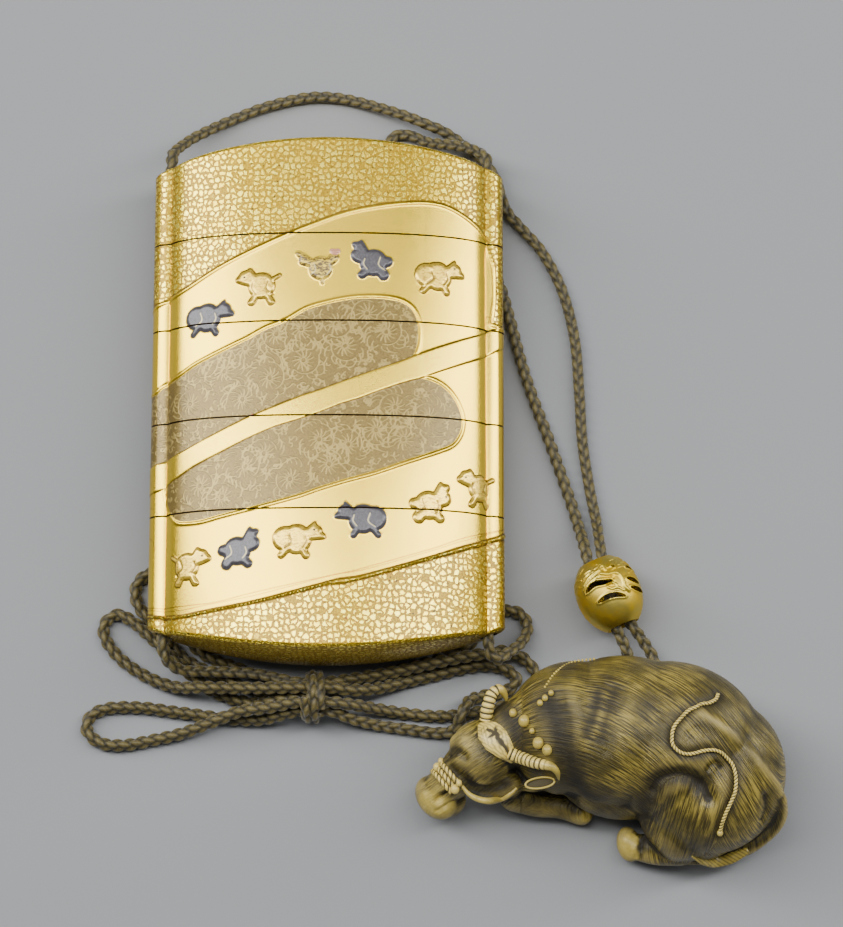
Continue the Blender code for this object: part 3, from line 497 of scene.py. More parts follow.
def smooth_route(points, step):
    """Points at equal steps along a Catmull-Rom curve through the given ones."""
    points = np.array(points, dtype=float)
    ghost = np.vstack([points[0] * 2 - points[1], points, points[-1] * 2 - points[-2]])
    fine = []
    share = np.linspace(0, 1, 24, endpoint=False)[:, None]
    for a, b, c, d in zip(ghost, ghost[1:], ghost[2:], ghost[3:]):
        fine.append((2 * b + (c - a) * share + (2 * a - 5 * b + 4 * c - d) * share ** 2
                     + (3 * b - a - 3 * c + d) * share ** 3) / 2)
    fine = np.vstack(fine + [points[-1:]])
    run = np.concatenate([[0], np.cumsum(np.linalg.norm(np.diff(fine, axis=0), axis=1))])
    goal = np.linspace(0, run[-1], max(3, round(run[-1] / step) + 1))
    return np.stack([np.interp(goal, run, fine[:, k]) for k in range(fine.shape[1])], axis=1), goal


def carried_frames(path):
    """Two crosswise directions at each point, carried along the path without twist."""
    along = np.gradient(path, axis=0)
    along /= np.linalg.norm(along, axis=1)[:, None]
    first = np.cross(along[0], (0, 0, 1.0))
    first /= np.linalg.norm(first)
    across = [first]
    for ahead in along[1:]:
        turned = across[-1] - ahead * np.dot(across[-1], ahead)
        across.append(turned / np.linalg.norm(turned))
    across = np.array(across)
    return across, np.cross(along, across)


def spokes(turn, across, over, flatten=1.0):
    """Directions at the angles round each point of a path."""
    return np.cos(turn)[None, :, None] * across[:, None] + flatten * np.sin(turn)[None, :, None] * over[:, None]


def smoothstep(low, high, value):
    """Zero below low, one above high, and a soft step between."""
    share = np.clip((value - low) / (high - low), 0, 1)
    return share * share * (3 - 2 * share)


# Shared shader tools


def new_material(name):
    """A material with its Principled shader and a helper to add nodes."""
    material = bpy.data.materials.new(name)
    material.use_nodes = True
    return material, material.node_tree, material.node_tree.nodes["Principled BSDF"]


def node(tree, kind, links=None, **settings):
    """Adds a node, sets its properties, and fills its inputs with values or links."""
    made = tree.nodes.new(kind)
    for key, value in settings.items():
        setattr(made, key, value)
    for socket, value in (links or {}).items():
        target = made.inputs[socket]
        if isinstance(value, bpy.types.NodeSocket):
            tree.links.new(value, target)
        else:
            target.default_value = value
    return made


def maths(tree, operation, a, b=0.0, c=0.0, clamp=False):
    """One Math node."""
    made = node(tree, "ShaderNodeMath", {0: a, 1: b, 2: c}, operation=operation, use_clamp=clamp)
    return made.outputs[0]


def blend(tree, factor, a, b, how="MIX"):
    """One colour Mix node."""
    made = node(tree, "ShaderNodeMix", data_type="RGBA", blend_type=how, clamp_factor=True)
    for socket, value in ((0, factor), (6, a), (7, b)):
        if isinstance(value, bpy.types.NodeSocket):
            tree.links.new(value, made.inputs[socket])
        elif socket == 0:
            made.inputs[socket].default_value = value
        else:
            made.inputs[socket].default_value = (*value, 1.0)
    return made.outputs[2]


def step(tree, value, low, high, low_out=0.0, high_out=1.0):
    """A soft threshold."""
    made = node(tree, "ShaderNodeMapRange", {"Value": value, "From Min": low, "From Max": high,
                                             "To Min": low_out, "To Max": high_out},
                interpolation_type="SMOOTHSTEP")
    return made.outputs[0]


def noise(tree, place, scale, detail=2.0, roughness=0.5):
    """One Noise Texture node."""
    return node(tree, "ShaderNodeTexNoise", {"Vector": place, "Scale": scale, "Detail": detail,
                                             "Roughness": roughness}).outputs[0]


def scaled(tree, place, by):
    """Coordinates scaled along each axis."""
    return node(tree, "ShaderNodeVectorMath", {0: place, 1: by}, operation="MULTIPLY").outputs[0]


def bumped(tree, shader, height, strength, distance):
    """Adds a fine bump to a finish."""
    bump = node(tree, "ShaderNodeBump", {"Height": height, "Strength": strength, "Distance": distance})
    tree.links.new(bump.outputs[0], shader.inputs["Normal"])


def wear_group():
    """Uneven wear that the finishes share: noise at a given fineness, as a plain value."""
    group = bpy.data.node_groups.get("uneven_wear")
    if group is None:
        group = bpy.data.node_groups.new("uneven_wear", "ShaderNodeTree")
        group.interface.new_socket(name="Vector", in_out="INPUT", socket_type="NodeSocketVector")
        group.interface.new_socket(name="Fineness", in_out="INPUT", socket_type="NodeSocketFloat")
        group.interface.new_socket(name="Wear", in_out="OUTPUT", socket_type="NodeSocketFloat")
        entry = node(group, "NodeGroupInput")
        pattern = noise(group, entry.outputs["Vector"], entry.outputs["Fineness"], 3.0, 0.6)
        node(group, "NodeGroupOutput", {"Wear": pattern})
    return group


def wear(tree, place, fineness):
    """The shared uneven wear in one material."""
    made = node(tree, "ShaderNodeGroup", {"Vector": place, "Fineness": fineness}, node_tree=wear_group())
    return made.outputs["Wear"]


def reading(tree, label, output="Fac"):
    """A number or a vector stored on the mesh."""
    return node(tree, "ShaderNodeAttribute", attribute_name=label).outputs[output]


def tone(settings, name):
    """A colour property as a plain tuple."""
    return tuple(getattr(settings, name))


# Case


def outline_table():
    """The outline from the middle of the back round: arc from the face's middle, x, z and normals."""
    power = 2 / OVAL_POWER
    angle = np.linspace(pi / 2, 0, OUTLINE_STEPS)
    x = BODY_WIDTH / 2 * np.cos(angle) ** power
    z = HALF_THICK * np.sin(angle) ** power
    first = int(np.argmax(np.hypot(x - RUNNER_OFFSET, z) < RUNNER_RADIUS))
    turn = np.linspace(np.arctan2(z[first], x[first] - RUNNER_OFFSET), 0, RUNNER_STEPS)
    quarter_x = np.concatenate([x[:first], RUNNER_OFFSET + RUNNER_RADIUS * np.cos(turn)])
    quarter_z = np.concatenate([z[:first], RUNNER_RADIUS * np.sin(turn)])
    half_x = np.concatenate([quarter_x, quarter_x[-2::-1]])
    half_z = np.concatenate([quarter_z, -quarter_z[-2::-1]])
    x = np.concatenate([-half_x[:0:-1], half_x])
    z = np.maximum(MIDDLE + np.concatenate([half_z[:0:-1], half_z]), 0)
    arc = np.concatenate([[0], np.cumsum(np.hypot(np.diff(x), np.diff(z)))])
    arc -= arc[-1] / 2
    crease = float(np.hypot(np.diff(quarter_x[:first + 1]), np.diff(quarter_z[:first + 1])).sum())
    runner = 2 * float(np.hypot(np.diff(quarter_x[first:]), np.diff(quarter_z[first:])).sum())
    slope_x = np.gradient(x, arc + np.arange(len(arc)) * 1e-9)
    slope_z = np.gradient(z, arc + np.arange(len(arc)) * 1e-9)
    return arc, x, z, -slope_z, slope_x, crease, runner


ARC, OUT_X, OUT_Z, NORMAL_X, NORMAL_Z, CREASE, RUNNER = outline_table()


def columns(face_step):
    """Arc positions round the outline: close on the face and the runners, wide on the back."""
    half = ARC[-1]
    face = np.linspace(-CREASE, CREASE, round(2 * CREASE / face_step), endpoint=False)
    runner = np.linspace(CREASE, CREASE + RUNNER, round(RUNNER / RUNNER_STEP), endpoint=False)
    back = np.linspace(CREASE + RUNNER, half, round((half - CREASE - RUNNER) / BACK_STEP), endpoint=False)
    right = np.concatenate([runner, back])
    return np.concatenate([[-half], -right[:0:-1], [-CREASE], face[1:], right])


def ring(arc, inset=0.0):
    """The outline's x and z at the arc positions, drawn in along its normals."""
    x, z = np.interp(arc, ARC, OUT_X), np.interp(arc, ARC, OUT_Z)
    nx, nz = np.interp(arc, ARC, NORMAL_X), np.interp(arc, ARC, NORMAL_Z)
    return x - inset * nx, z - inset * nz


def pocket_ring(arc, inset):
    """The recess outline beside the same arc positions."""
    x, z = ring(arc)
    z = z - MIDDLE
    reach = RUNNER_OFFSET + RUNNER_RADIUS
    angle = np.arctan2(np.sign(z) * np.abs(z / HALF_THICK) ** (OVAL_POWER / 2),
                       np.sign(x) * np.abs(x / reach) ** (OVAL_POWER / 2))
    wide, thick = POCKET_HALF_WIDTH - inset, HALF_THICK - SKIN - inset
    power = 2 / OVAL_POWER
    return (wide * np.sign(np.cos(angle)) * np.abs(np.cos(angle)) ** power,
            MIDDLE + thick * np.sign(np.sin(angle)) * np.abs(np.sin(angle)) ** power)


def end_height(x, z):
    """How far the domed end stands past its side height."""
    return END_RISE * (1 - (2 * x / BODY_WIDTH) ** 2) + END_BULGE * (1 - ((z - MIDDLE) / HALF_THICK) ** 2)


def row(x, z, y):
    """One ring of points."""
    return np.stack([x, np.broadcast_to(y, x.shape), z], axis=1)


def seam_rows(arc, y, inward):
    """The rounded edge at a seam, from the seam's face out to the wall."""
    rows = []
    for share in (0.0, 0.3, 0.7, 1.0):
        turn = share * pi / 2
        x, z = ring(arc, SEAM_EDGE * (1 - sin(turn)))
        rows.append(row(x, z, y + inward * SEAM_EDGE * (1 - cos(turn))))
    return rows


def end_rows(arc, base, sign):
    """The domed end, from its rounded edge in to its middle."""
    x, z = ring(arc)
    rows = []
    rim = END_EDGE / HALF_THICK
    for share in (0.0, 0.35, 0.7, 1.0):
        turn = share * pi / 2
        scale = 1 - rim * (1 - cos(turn))
        inner_x, inner_z = x * scale, MIDDLE + (z - MIDDLE) * scale
        rounded = end_height(inner_x, inner_z) - END_EDGE * (1 - sin(turn))
        rows.append(row(inner_x, inner_z, base + sign * rounded))
    for scale in np.linspace(1 - rim, 0.02, 26)[1:]:
        inner_x, inner_z = x * scale, MIDDLE + (z - MIDDLE) * scale
        rows.append(row(inner_x, inner_z, base + sign * end_height(inner_x, inner_z)))
    return rows


def wall_rows(arc, low, high, face_step):
    """The outside wall between two heights, which may follow the arc."""
    x, z = ring(arc)
    low, high = np.broadcast_to(low, x.shape), np.broadcast_to(high, x.shape)
    count = round(float(np.max(high - low)) / face_step)
    return [row(x, z, low + (high - low) * k / count) for k in range(count + 1)]


def riser_rows(arc, top, floor):
    """The shoulder, the riser and the compartment down to its floor."""
    rows = []
    for inset, y in ((FIT, top), (FIT, top + RISER_HEIGHT), (FIT + RISER_WALL, top + RISER_HEIGHT),
                     (FIT + RISER_WALL, floor)):
        x, z = pocket_ring(arc, inset)
        rows.append(row(x, z, y))
    return rows


def recess_rows(arc, base, roof):
    """The recess under a section, from its roof down."""
    x, z = pocket_ring(arc, 0)
    return [row(x, z, roof), row(x, z, base)]


def section_mesh(name, base, top, face_step):
    """One section of the case, with its relief and the fields that its decoration reads."""
    arc = columns(face_step)
    x, z = ring(arc)
    side = end_height(x, z) - END_EDGE
    low, high = base + SEAM, top - SEAM
    if name == "bottom_case":
        start = end_rows(arc, BOTTOM_CASE_BASE, -1)[::-1]
        wall = wall_rows(arc, BOTTOM_CASE_BASE - side, high - SEAM_EDGE, face_step)
        stop = seam_rows(arc, high, -1)[::-1] + riser_rows(arc, high, BOTTOM_CASE_BASE + FLOOR)
    elif name == "lid":
        start = recess_rows(arc, low, LID_TOP - FLOOR) + seam_rows(arc, low, 1)
        wall = wall_rows(arc, low + SEAM_EDGE, LID_TOP + side, face_step)
        stop = end_rows(arc, LID_TOP, 1)
    else:
        start = recess_rows(arc, low, low + ROOF) + seam_rows(arc, low, 1)
        wall = wall_rows(arc, low + SEAM_EDGE, high - SEAM_EDGE, face_step)
        stop = seam_rows(arc, high, -1)[::-1] + riser_rows(arc, high, low + ROOF + FLOOR)
    points = np.array(start[:-1] + wall + stop[1:])
    first, last = len(start) - 1, len(start) - 1 + len(wall)
    if name == "lid":
        last = len(points)
    if name == "bottom_case":
        first = 0
    outside = np.zeros(points.shape[:2], dtype=bool)
    outside[first:last] = True
    across = np.broadcast_to(arc, points.shape[:2])
    up = points[:, :, 1]
    fields, height = decoration(across[outside], up[outside])
    normal = np.stack([np.interp(arc, ARC, NORMAL_X), np.zeros(len(arc)), np.interp(arc, ARC, NORMAL_Z)], axis=1)
    lift = np.zeros(points.shape[:2])
    lift[outside] = height
    values = {}
    for label, field in fields.items():
        whole = np.full(points.shape[:2], -FAR)
        whole[outside] = field
        values[label] = whole
    values["outside"] = outside.astype(float)
    values["lay"] = np.stack([across, up, points[:, :, 2]], axis=2)
    if name in ("lid", "bottom_case"):
        cap = slice(len(points) - CAP_ROWS, None) if name == "lid" else slice(0, CAP_ROWS)
        values["lay"][cap] = np.stack([points[cap, :, 0], points[cap, :, 2] + CAP_OFFSET, up[cap] * 0], axis=2)
    points = points + lift[:, :, None] * normal[None]
    points[:, :, 2] = np.maximum(points[:, :, 2], 0)
    return closed(woven(name, points, values))


class Sheet:
    """The opened-out outside of the case as a fine grid, on which distances are drawn."""

    def __init__(self):
        self.across = np.arange(-ARC[-1] - 1, ARC[-1] + 1, SHEET_STEP)
        self.up = np.arange(-SHEET_HEIGHT, SHEET_HEIGHT, SHEET_STEP)

    def empty(self):
        return np.full((len(self.up), len(self.across)), FAR)

    def window(self, a, b, reach):
        """The part of the grid around a short line."""
        left, right = np.searchsorted(self.across, (min(a[0], b[0]) - reach, max(a[0], b[0]) + reach))
        low, high = np.searchsorted(self.up, (min(a[1], b[1]) - reach, max(a[1], b[1]) + reach))
        return slice(low, high), slice(left, right)

    def distance(self, lines, reach=1.3):
        """How far each place is from the nearest of the lines."""
        field = self.empty()
        for line in lines:
            for a, b in zip(line, line[1:]):
                rows, cells = self.window(a, b, reach)
                u, v = self.across[cells][None] - a[0], self.up[rows][:, None] - a[1]
                du, dv = b[0] - a[0], b[1] - a[1]
                share = np.clip((u * du + v * dv) / max(du * du + dv * dv, 1e-12), 0, 1)
                apart = np.hypot(u - share * du, v - share * dv)
                field[rows, cells] = np.minimum(field[rows, cells], apart)
        return field

    def inside(self, shapes):
        """Distance to the nearest outline, positive within a shape."""
        edge = self.distance(shapes)
        within = np.zeros(edge.shape, dtype=bool)
        for shape in shapes:
            own = np.zeros(edge.shape, dtype=bool)
            for a, b in zip(shape, shape[1:]):
                if a[1] == b[1]:
                    continue
                low, high = np.searchsorted(self.up, sorted((a[1], b[1])))
                if high > low:
                    cross = a[0] + (self.up[low:high] - a[1]) * (b[0] - a[0]) / (b[1] - a[1])
                    own[low:high] ^= self.across[None] > cross[:, None]
            within |= own
        return np.where(within, edge, -edge)

    def at(self, field, across, up):
        """The field's values at places between the grid's points."""
        u = np.clip((across - self.across[0]) / SHEET_STEP, 0, len(self.across) - 2)
        v = np.clip((up - self.up[0]) / SHEET_STEP, 0, len(self.up) - 2)
        column, line = u.astype(int), v.astype(int)
        u, v = u - column, v - line
        below = field[line, column] * (1 - u) + field[line, column + 1] * u
        above = field[line + 1, column] * (1 - u) + field[line + 1, column + 1] * u
        return below * (1 - v) + above * v


def curve(points, closed_shape=False):
    """A smooth line through places on the sheet."""
    points = [(u, v, 0.0) for u, v in points]
    if closed_shape:
        points = points[-1:] + points + points[:2]
        fine = smooth_route(points, CURVE_STEP)[0]
        start = int(np.argmin(np.hypot(*(fine[:len(fine) // 3] - points[1])[:, :2].T)))
        stop = len(fine) - 1 - int(np.argmin(np.hypot(*(fine[::-1][:len(fine) // 3] - points[-2])[:, :2].T)))
        return np.vstack([fine[start:stop], fine[start:start + 1]])[:, :2]
    return smooth_route(points, CURVE_STEP)[0][:, :2]


def around(u, v, reach, angle):
    """A line on the sheet through places at a reach and angle from one place."""
    return np.stack([u + reach * np.cos(angle), v + reach * np.sin(angle)], axis=1)


def vine_lines():
    """Engraved flowers, each a ring of petals in a wreath of curled leaves, and small curls between."""
    rng = np.random.default_rng(7)
    lines = []
    for u, v in FLOWERS:
        start = rng.uniform(0, 2 * pi)
        turn = np.linspace(0, 2 * pi, 24)
        lines.append(around(u, v, 0.45, turn))
        for k in range(13):
            angle = start + k * 2 * pi / 13
            reach = np.array([0.7, 1.2, 1.75])
            bend = angle + np.array([0, 0.08, 0.22])
            lines.append(around(u, v, reach, bend))
        spiral = start + np.linspace(0, 2.6, 16)
        reach = np.linspace(2.1, 2.6, 16)
        lines.append(around(u, v, reach, spiral))
        for k in range(19):
            angle = start + (k + rng.uniform(-0.2, 0.2)) * 2 * pi / 19
            reach = 2.55 + np.linspace(0, 1, 6) * rng.uniform(0.8, 1.5)
            bend = angle + np.linspace(0, 1, 6) ** 2 * rng.choice((-0.45, 0.45, 0.45))
            lines.append(around(u, v, reach, bend))
    centres = np.array(FLOWERS)
    for _ in range(VINE_CURLS):
        u, v = rng.uniform(-32, 23), rng.uniform(-22, 15)
        if np.hypot(*(centres - (u, v)).T).min() < 3.9 and rng.random() < 0.985:
            continue
        angle, size, side = rng.uniform(0, 2 * pi), rng.uniform(0.25, 0.42), rng.choice((-1, 1))
        turn = angle + side * np.linspace(0, 3.6, 8)
        reach = size * np.linspace(0.5, 1.25, 8)
        lines.append(around(u, v, reach, turn))
    return lines


def sheet_fields():
    """All of the decoration's distances on the sheet."""
    sheet = Sheet()
    top, bottom = curve(SASH_TOP), curve(SASH_BOTTOM)
    far = np.array([(28.6, 12.4), (36.0, 11.0), (50.0, 3.0), (63.5, 0.0)])
    sash = np.vstack([top, far, bottom[::-1], top[:1]])
    fields = {
        "sash": sheet.inside([sash]),
        "panel": np.maximum(sheet.inside([curve(PANEL_UPPER, True)]), sheet.inside([curve(PANEL_LOWER, True)])),
        "stripe": sheet.inside([np.array(STRIPE + STRIPE[:1], dtype=float)]),
        "edge": sheet.distance([top, bottom, curve(SASH_LOW), far]),
        "fine": sheet.distance([curve(SASH_FINE), curve(SCROLL_CURL)]),
        "vine": sheet.distance(vine_lines(), 0.6),
        "dark": sheet.distance([curve(line) for line in DARK_STROKES]),
        "pale": sheet.distance([curve(line) for line in PALE_STROKES]),
        "red": sheet.distance([curve(line) for line in RED_STROKES]),
        "dots": sheet.distance([((u, v), (u + 0.01, v)) for u, v in EYES]),
        "marks": sheet.distance([((u, v), (u + 0.01, v)) for u, v in RED_MARKS]),
    }
    for label, shapes in (("slate", SLATE_SHAPES), ("figure", GOLD_SHAPES), ("feather", FEATHER_SHAPES),
                          ("rose", ROSE_SHAPES)):
        fields[label] = sheet.inside([curve(shape, True) for shape in shapes])
    bottom_line = np.interp(sheet.across, bottom[:, 0], bottom[:, 1])
    low_line = np.interp(sheet.across, *curve(SASH_LOW).T)
    fields["band"] = np.minimum(bottom_line[None] - sheet.up[:, None], sheet.up[:, None] - low_line[None])
    return sheet, fields


def decoration(across, up):
    """Distances of the decoration in millimetres, and the height of its relief."""
    if not SHEET:
        SHEET.extend(sheet_fields())
    sheet, drawn = SHEET
    fields = {label: sheet.at(field, across, up) for label, field in drawn.items()}
    inside = smoothstep(-0.05, 0.25, fields["sash"])
    height = 0.10 * inside
    height += 0.10 * np.exp(-((fields["sash"] - 0.38) / 0.26) ** 2) * (up > -20) * (fields["sash"] > -1)
    height += 0.26 * smoothstep(-0.02, 0.32, fields["band"])
    height -= 0.05 * np.exp(-(fields["edge"] / 0.13) ** 2)
    height -= 0.09 * smoothstep(-0.08, 0.14, fields["panel"])
    beside = smoothstep(0.1, -0.25, fields["stripe"])
    height += 0.10 * np.exp(-((fields["panel"] + 0.42) / 0.20) ** 2) * beside
    height += 0.08 * smoothstep(-0.05, 0.12, fields["stripe"])
    height += 0.035 * smoothstep(0.16, 0.04, fields["vine"]) * (fields["panel"] > 0)
    height += 0.24 * smoothstep(-0.04, 0.5, fields["figure"])
    for label, rise in (("feather", 0.30), ("slate", 0.30), ("rose", 0.26)):
        height = np.maximum(height, 0.10 + rise * smoothstep(-0.04, 0.55, fields[label]))
    drawn_on = smoothstep(-0.05, 0.1, np.maximum.reduce([fields["figure"], fields["feather"], fields["slate"]]))
    height -= 0.09 * np.exp(-(fields["dark"] / 0.13) ** 2)
    height += 0.05 * np.exp(-(fields["pale"] / 0.12) ** 2) * drawn_on
    return fields, height


SHEET = []


def bored(obj):
    """Cuts the two cord channels through a section."""
    bm = bmesh.new()
    length = 2 * (LID_TOP + END_RISE + RISER_HEIGHT) * MM
    for side in (-1, 1):
        place = Matrix.Translation(Vector((side * RUNNER_OFFSET, 0, MIDDLE)) * MM) @ Matrix.Rotation(pi / 2, 4, "X")
        bmesh.ops.create_cone(bm, cap_ends=True, segments=48, radius1=CHANNEL_DIAMETER / 2 * MM,
                              radius2=CHANNEL_DIAMETER / 2 * MM, depth=length, matrix=place)
    tool = bpy.data.objects.new("channels", baked(bm, "channels"))
    bpy.context.scene.collection.objects.link(tool)
    cut = obj.modifiers.new("channels", "BOOLEAN")
    cut.operation = "DIFFERENCE"
    cut.solver = "EXACT"
    cut.object = tool
    applied(obj)
    bpy.data.objects.remove(tool, do_unlink=True)


def applied(obj):
    """Puts the object's modifiers into its mesh."""
    depsgraph = bpy.context.evaluated_depsgraph_get()
    mesh = bpy.data.meshes.new_from_object(obj.evaluated_get(depsgraph))
    obj.modifiers.clear()
    obj.data = mesh


# Cord


def braided(name, points):
    """A round braid laid along a route: slanted cells in four columns."""
    path, run = smooth_route(points, BRAID_STEP)
    across, over = carried_frames(path)
    turn = np.linspace(0, 2 * pi, BRAID_SIDES, endpoint=False)
    column = turn / (2 * pi) * BRAID_COLUMNS + 0.5
    number = np.floor(column).astype(int) % BRAID_COLUMNS
    share = column - np.floor(column)
    slant = np.where(number % 2 == 0, 1.0, -1.0)
    lean = (slant * (share - 0.5) * BRAID_SLANT / BRAID_PITCH)[None]
    phase = run[:, None] / BRAID_PITCH + 0.5 * (number % 2)[None] + lean
    inside = phase - np.floor(phase)
    cell = np.sin(pi * inside) ** 0.75
    edge = (np.sin(pi * share) ** 0.6)[None]
    height = cell * edge
    radius = CORD_DIAMETER / 2 * (0.60 + 0.42 * height)
    points = path[:, None] + radius[:, :, None] * spokes(turn, across, over)
    points[:, :, 2] = np.maximum(points[:, :, 2], 0.02)
    along = (run[:, None] - slant[None] * share[None] * BRAID_SLANT)
    fibre = np.stack([inside, along / BRAID_PITCH, np.floor(phase) + 7.3 * number[None]], axis=2)
    values = {"groove": height, "fibre": fibre}
    return closed(woven(name, points, values)), path


def silk_material(settings):
    """Olive-brown silk whose fine filaments mix a lit and a shaded silk colour, painted light and shade, with painted
    shade in the grooves between the cells.
    """
    material, tree, shader = new_material("silk_braid")
    groove = reading(tree, "groove")
    fibre = reading(tree, "fibre", "Vector")
    strands = noise(tree, scaled(tree, fibre, (26.0, 1.6, 1.0)), 1.0, 3.0, 0.6)
    patches = wear(tree, node(tree, "ShaderNodeTexCoord").outputs["Object"], 260.0)
    # Painted light and shade: the filaments mix the shaded and the lit silk colour.
    base = blend(tree, step(tree, strands, 0.3, 0.7), tone(settings, "cord_dark"), tone(settings, "cord_light"))
    base = blend(tree, step(tree, patches, 0.3, 0.75, 0.0, 0.35), base, tone(settings, "cord_light"))
    # Painted shade: the colour darkens with the depth of the grooves between the cells.
    shade = step(tree, groove, 0.1, 0.85, 0.22, 1.0)
    grey = node(tree, "ShaderNodeCombineColor", {0: shade, 1: shade, 2: shade}).outputs[0]
    base = blend(tree, 1.0, base, grey, "MULTIPLY")
    tree.links.new(base, shader.inputs["Base Color"])
    shader.inputs["Roughness"].default_value = 0.52
    shader.inputs["Sheen Weight"].default_value = 0.25
    shader.inputs["Sheen Roughness"].default_value = 0.4
    shader.inputs["Specular IOR Level"].default_value = 0.45
    bumped(tree, shader, strands, 0.5, 0.00008)
    return material


# Ox


def add_ball(bm, centre, radii, turn):
    """An ellipsoid on the ox's grid, turned about z in degrees."""
    place = Matrix.Translation(centre) @ Matrix.Rotation(radians(turn), 4, "Z") @ Matrix.Diagonal((*radii, 1))
    bmesh.ops.create_icosphere(bm, subdivisions=4, radius=1, matrix=place)


def melted(bm, voxel, smoothing):
    """One closed skin round all forms, smoothed, in millimetres."""
    obj = bpy.data.objects.new("draft", baked(bm, "draft"))
    bpy.context.scene.collection.objects.link(obj)
    remesh = obj.modifiers.new("melt", "REMESH")
    remesh.mode = "VOXEL"
    remesh.voxel_size = voxel
    soften = obj.modifiers.new("soften", "SMOOTH")
    soften.factor = 0.5
    soften.iterations = smoothing
    depsgraph = bpy.context.evaluated_depsgraph_get()
    skin = bpy.data.meshes.new_from_object(obj.evaluated_get(depsgraph))
    bpy.data.objects.remove(obj, do_unlink=True)
    return skin


def averaged(mesh, values, rounds):
    """Values spread over the neighbouring vertices, a number of times."""
    edges = np.empty(len(mesh.edges) * 2, dtype=np.int32)
    mesh.edges.foreach_get("vertices", edges)
    a, b = edges.reshape(-1, 2).T
    count = np.bincount(a, minlength=len(values)) + np.bincount(b, minlength=len(values)) + 1.0
    values = np.array(values, dtype=float)
    flat = values.reshape(len(values), -1)
    for _ in range(rounds):
        total = flat.copy()
        for k in range(flat.shape[1]):
            total[:, k] += np.bincount(a, weights=flat[b, k], minlength=len(values))
            total[:, k] += np.bincount(b, weights=flat[a, k], minlength=len(values))
        flat = total / count[:, None]
    return flat.reshape(values.shape)


def view_ray(px, py):
    """The ray through a place in the photograph's frame, from the camera in millimetres."""
    back = Vector((0, -cos(VIEW_ELEVATION), sin(VIEW_ELEVATION)))
    up = Vector((0, sin(VIEW_ELEVATION), cos(VIEW_ELEVATION)))
    scale = SENSOR_WIDTH / (FRAME_HEIGHT * VIEW_LENS)
    right = Vector((1, 0, 0)) * (px - FRAME_WIDTH / 2) * scale
    ray = right - up * (py - FRAME_HEIGHT / 2) * scale - back
    return (VIEW_TARGET + back * VIEW_DISTANCE) / MM, ray.normalized()


def seen(tree, places):
    """Points and normals of a surface under places of the photograph's frame, in millimetres."""
    points, faces = [], []
    for px, py in places:
        origin, ray = view_ray(px, py)
        hit, normal = tree.ray_cast(origin, ray)[:2]
        if hit is not None:
            points.append(tuple(hit))
            faces.append(tuple(normal))
    return np.array(points), np.array(faces)


def near(points, line):
    """Distance of each point from a line of close points."""
    best = np.full(len(points), 1e9)
    low, high = line.min(axis=0) - 6, line.max(axis=0) + 6
    inside = np.all((points > low) & (points < high), axis=1)
    chosen = points[inside]
    distance = np.full(len(chosen), 1e9)
    for stop in line:
        distance = np.minimum(distance, ((chosen - stop) ** 2).sum(axis=1))
    best[inside] = np.sqrt(distance)
    return best


def ox_skin(fine):
    """The carved body: forms melted together, creased and ridged, with stain, painted shade on the far flank and
    strokes stored.
    """
    bm = bmesh.new()
    for centre, radii, turn in OX_BALLS:
        add_ball(bm, centre, radii, turn)
    for stops in OX_LIMBS:
        for x, y, z, radius in smooth_stops(stops, 0.5):
            add_ball(bm, (x, y, z), (radius,) * 3, 0)
    bmesh.ops.translate(bm, verts=bm.verts, vec=(OX_PLACE[0], OX_PLACE[1], 0))
    mesh = melted(bm, OX_VOXEL if fine else 0.6, 14 if fine else 4)
    tree = BVHTree.FromPolygons([vert.co for vert in mesh.vertices], [face.vertices for face in mesh.polygons])
    points, facing = vertex_vectors(mesh).astype(float), vertex_vectors(mesh, True).astype(float)
    lift = np.zeros(len(points))
    for places, depth, width in OX_LINES:
        line = seen(tree, places)[0]
        if len(line) > 1:
            line = smooth_route(line, CURVE_STEP)[0]
            lift += depth * np.exp(-(near(points, line) / width) ** 2)
    points = points + facing * lift[:, None]
    moved(mesh, points)
    facing = vertex_vectors(mesh, True).astype(float)
    hollow = ((averaged(mesh, points, 60 if fine else 10) - points) * facing).sum(axis=1)
    wide = ((averaged(mesh, points, 260 if fine else 40) - points) * facing).sum(axis=1)
    tint, stain = np.zeros(len(points)), np.zeros(len(points))
    # Stain lines, and two bands of painted shade along the far flank
    for places, width, strength in OX_STAINS_AND_SHADE:
        line = seen(tree, places)[0]
        if len(line) > 1:
            line = smooth_route(line, CURVE_STEP)[0]
            stain = np.maximum(stain, strength * np.exp(-(near(points, line) / width) ** 2))
    for place, radius in OX_TINTS:
        spot = seen(tree, [place])[0]
        if len(spot):
            tint = np.maximum(tint, 1 - near(points, spot) / radius)
    store(mesh, "hollow", averaged(mesh, hollow, 3))
    store(mesh, "basin", averaged(mesh, wide, 6))
    store(mesh, "honey", np.clip(tint, 0, 1))
    store(mesh, "stroke", stroke_places(points))
    store(mesh, "stain", stain)
    points = vertex_vectors(mesh).astype(float)
    points[:, 2] = np.maximum(points[:, 2], 0.0)
    moved(mesh, points * MM)
    return mesh, tree


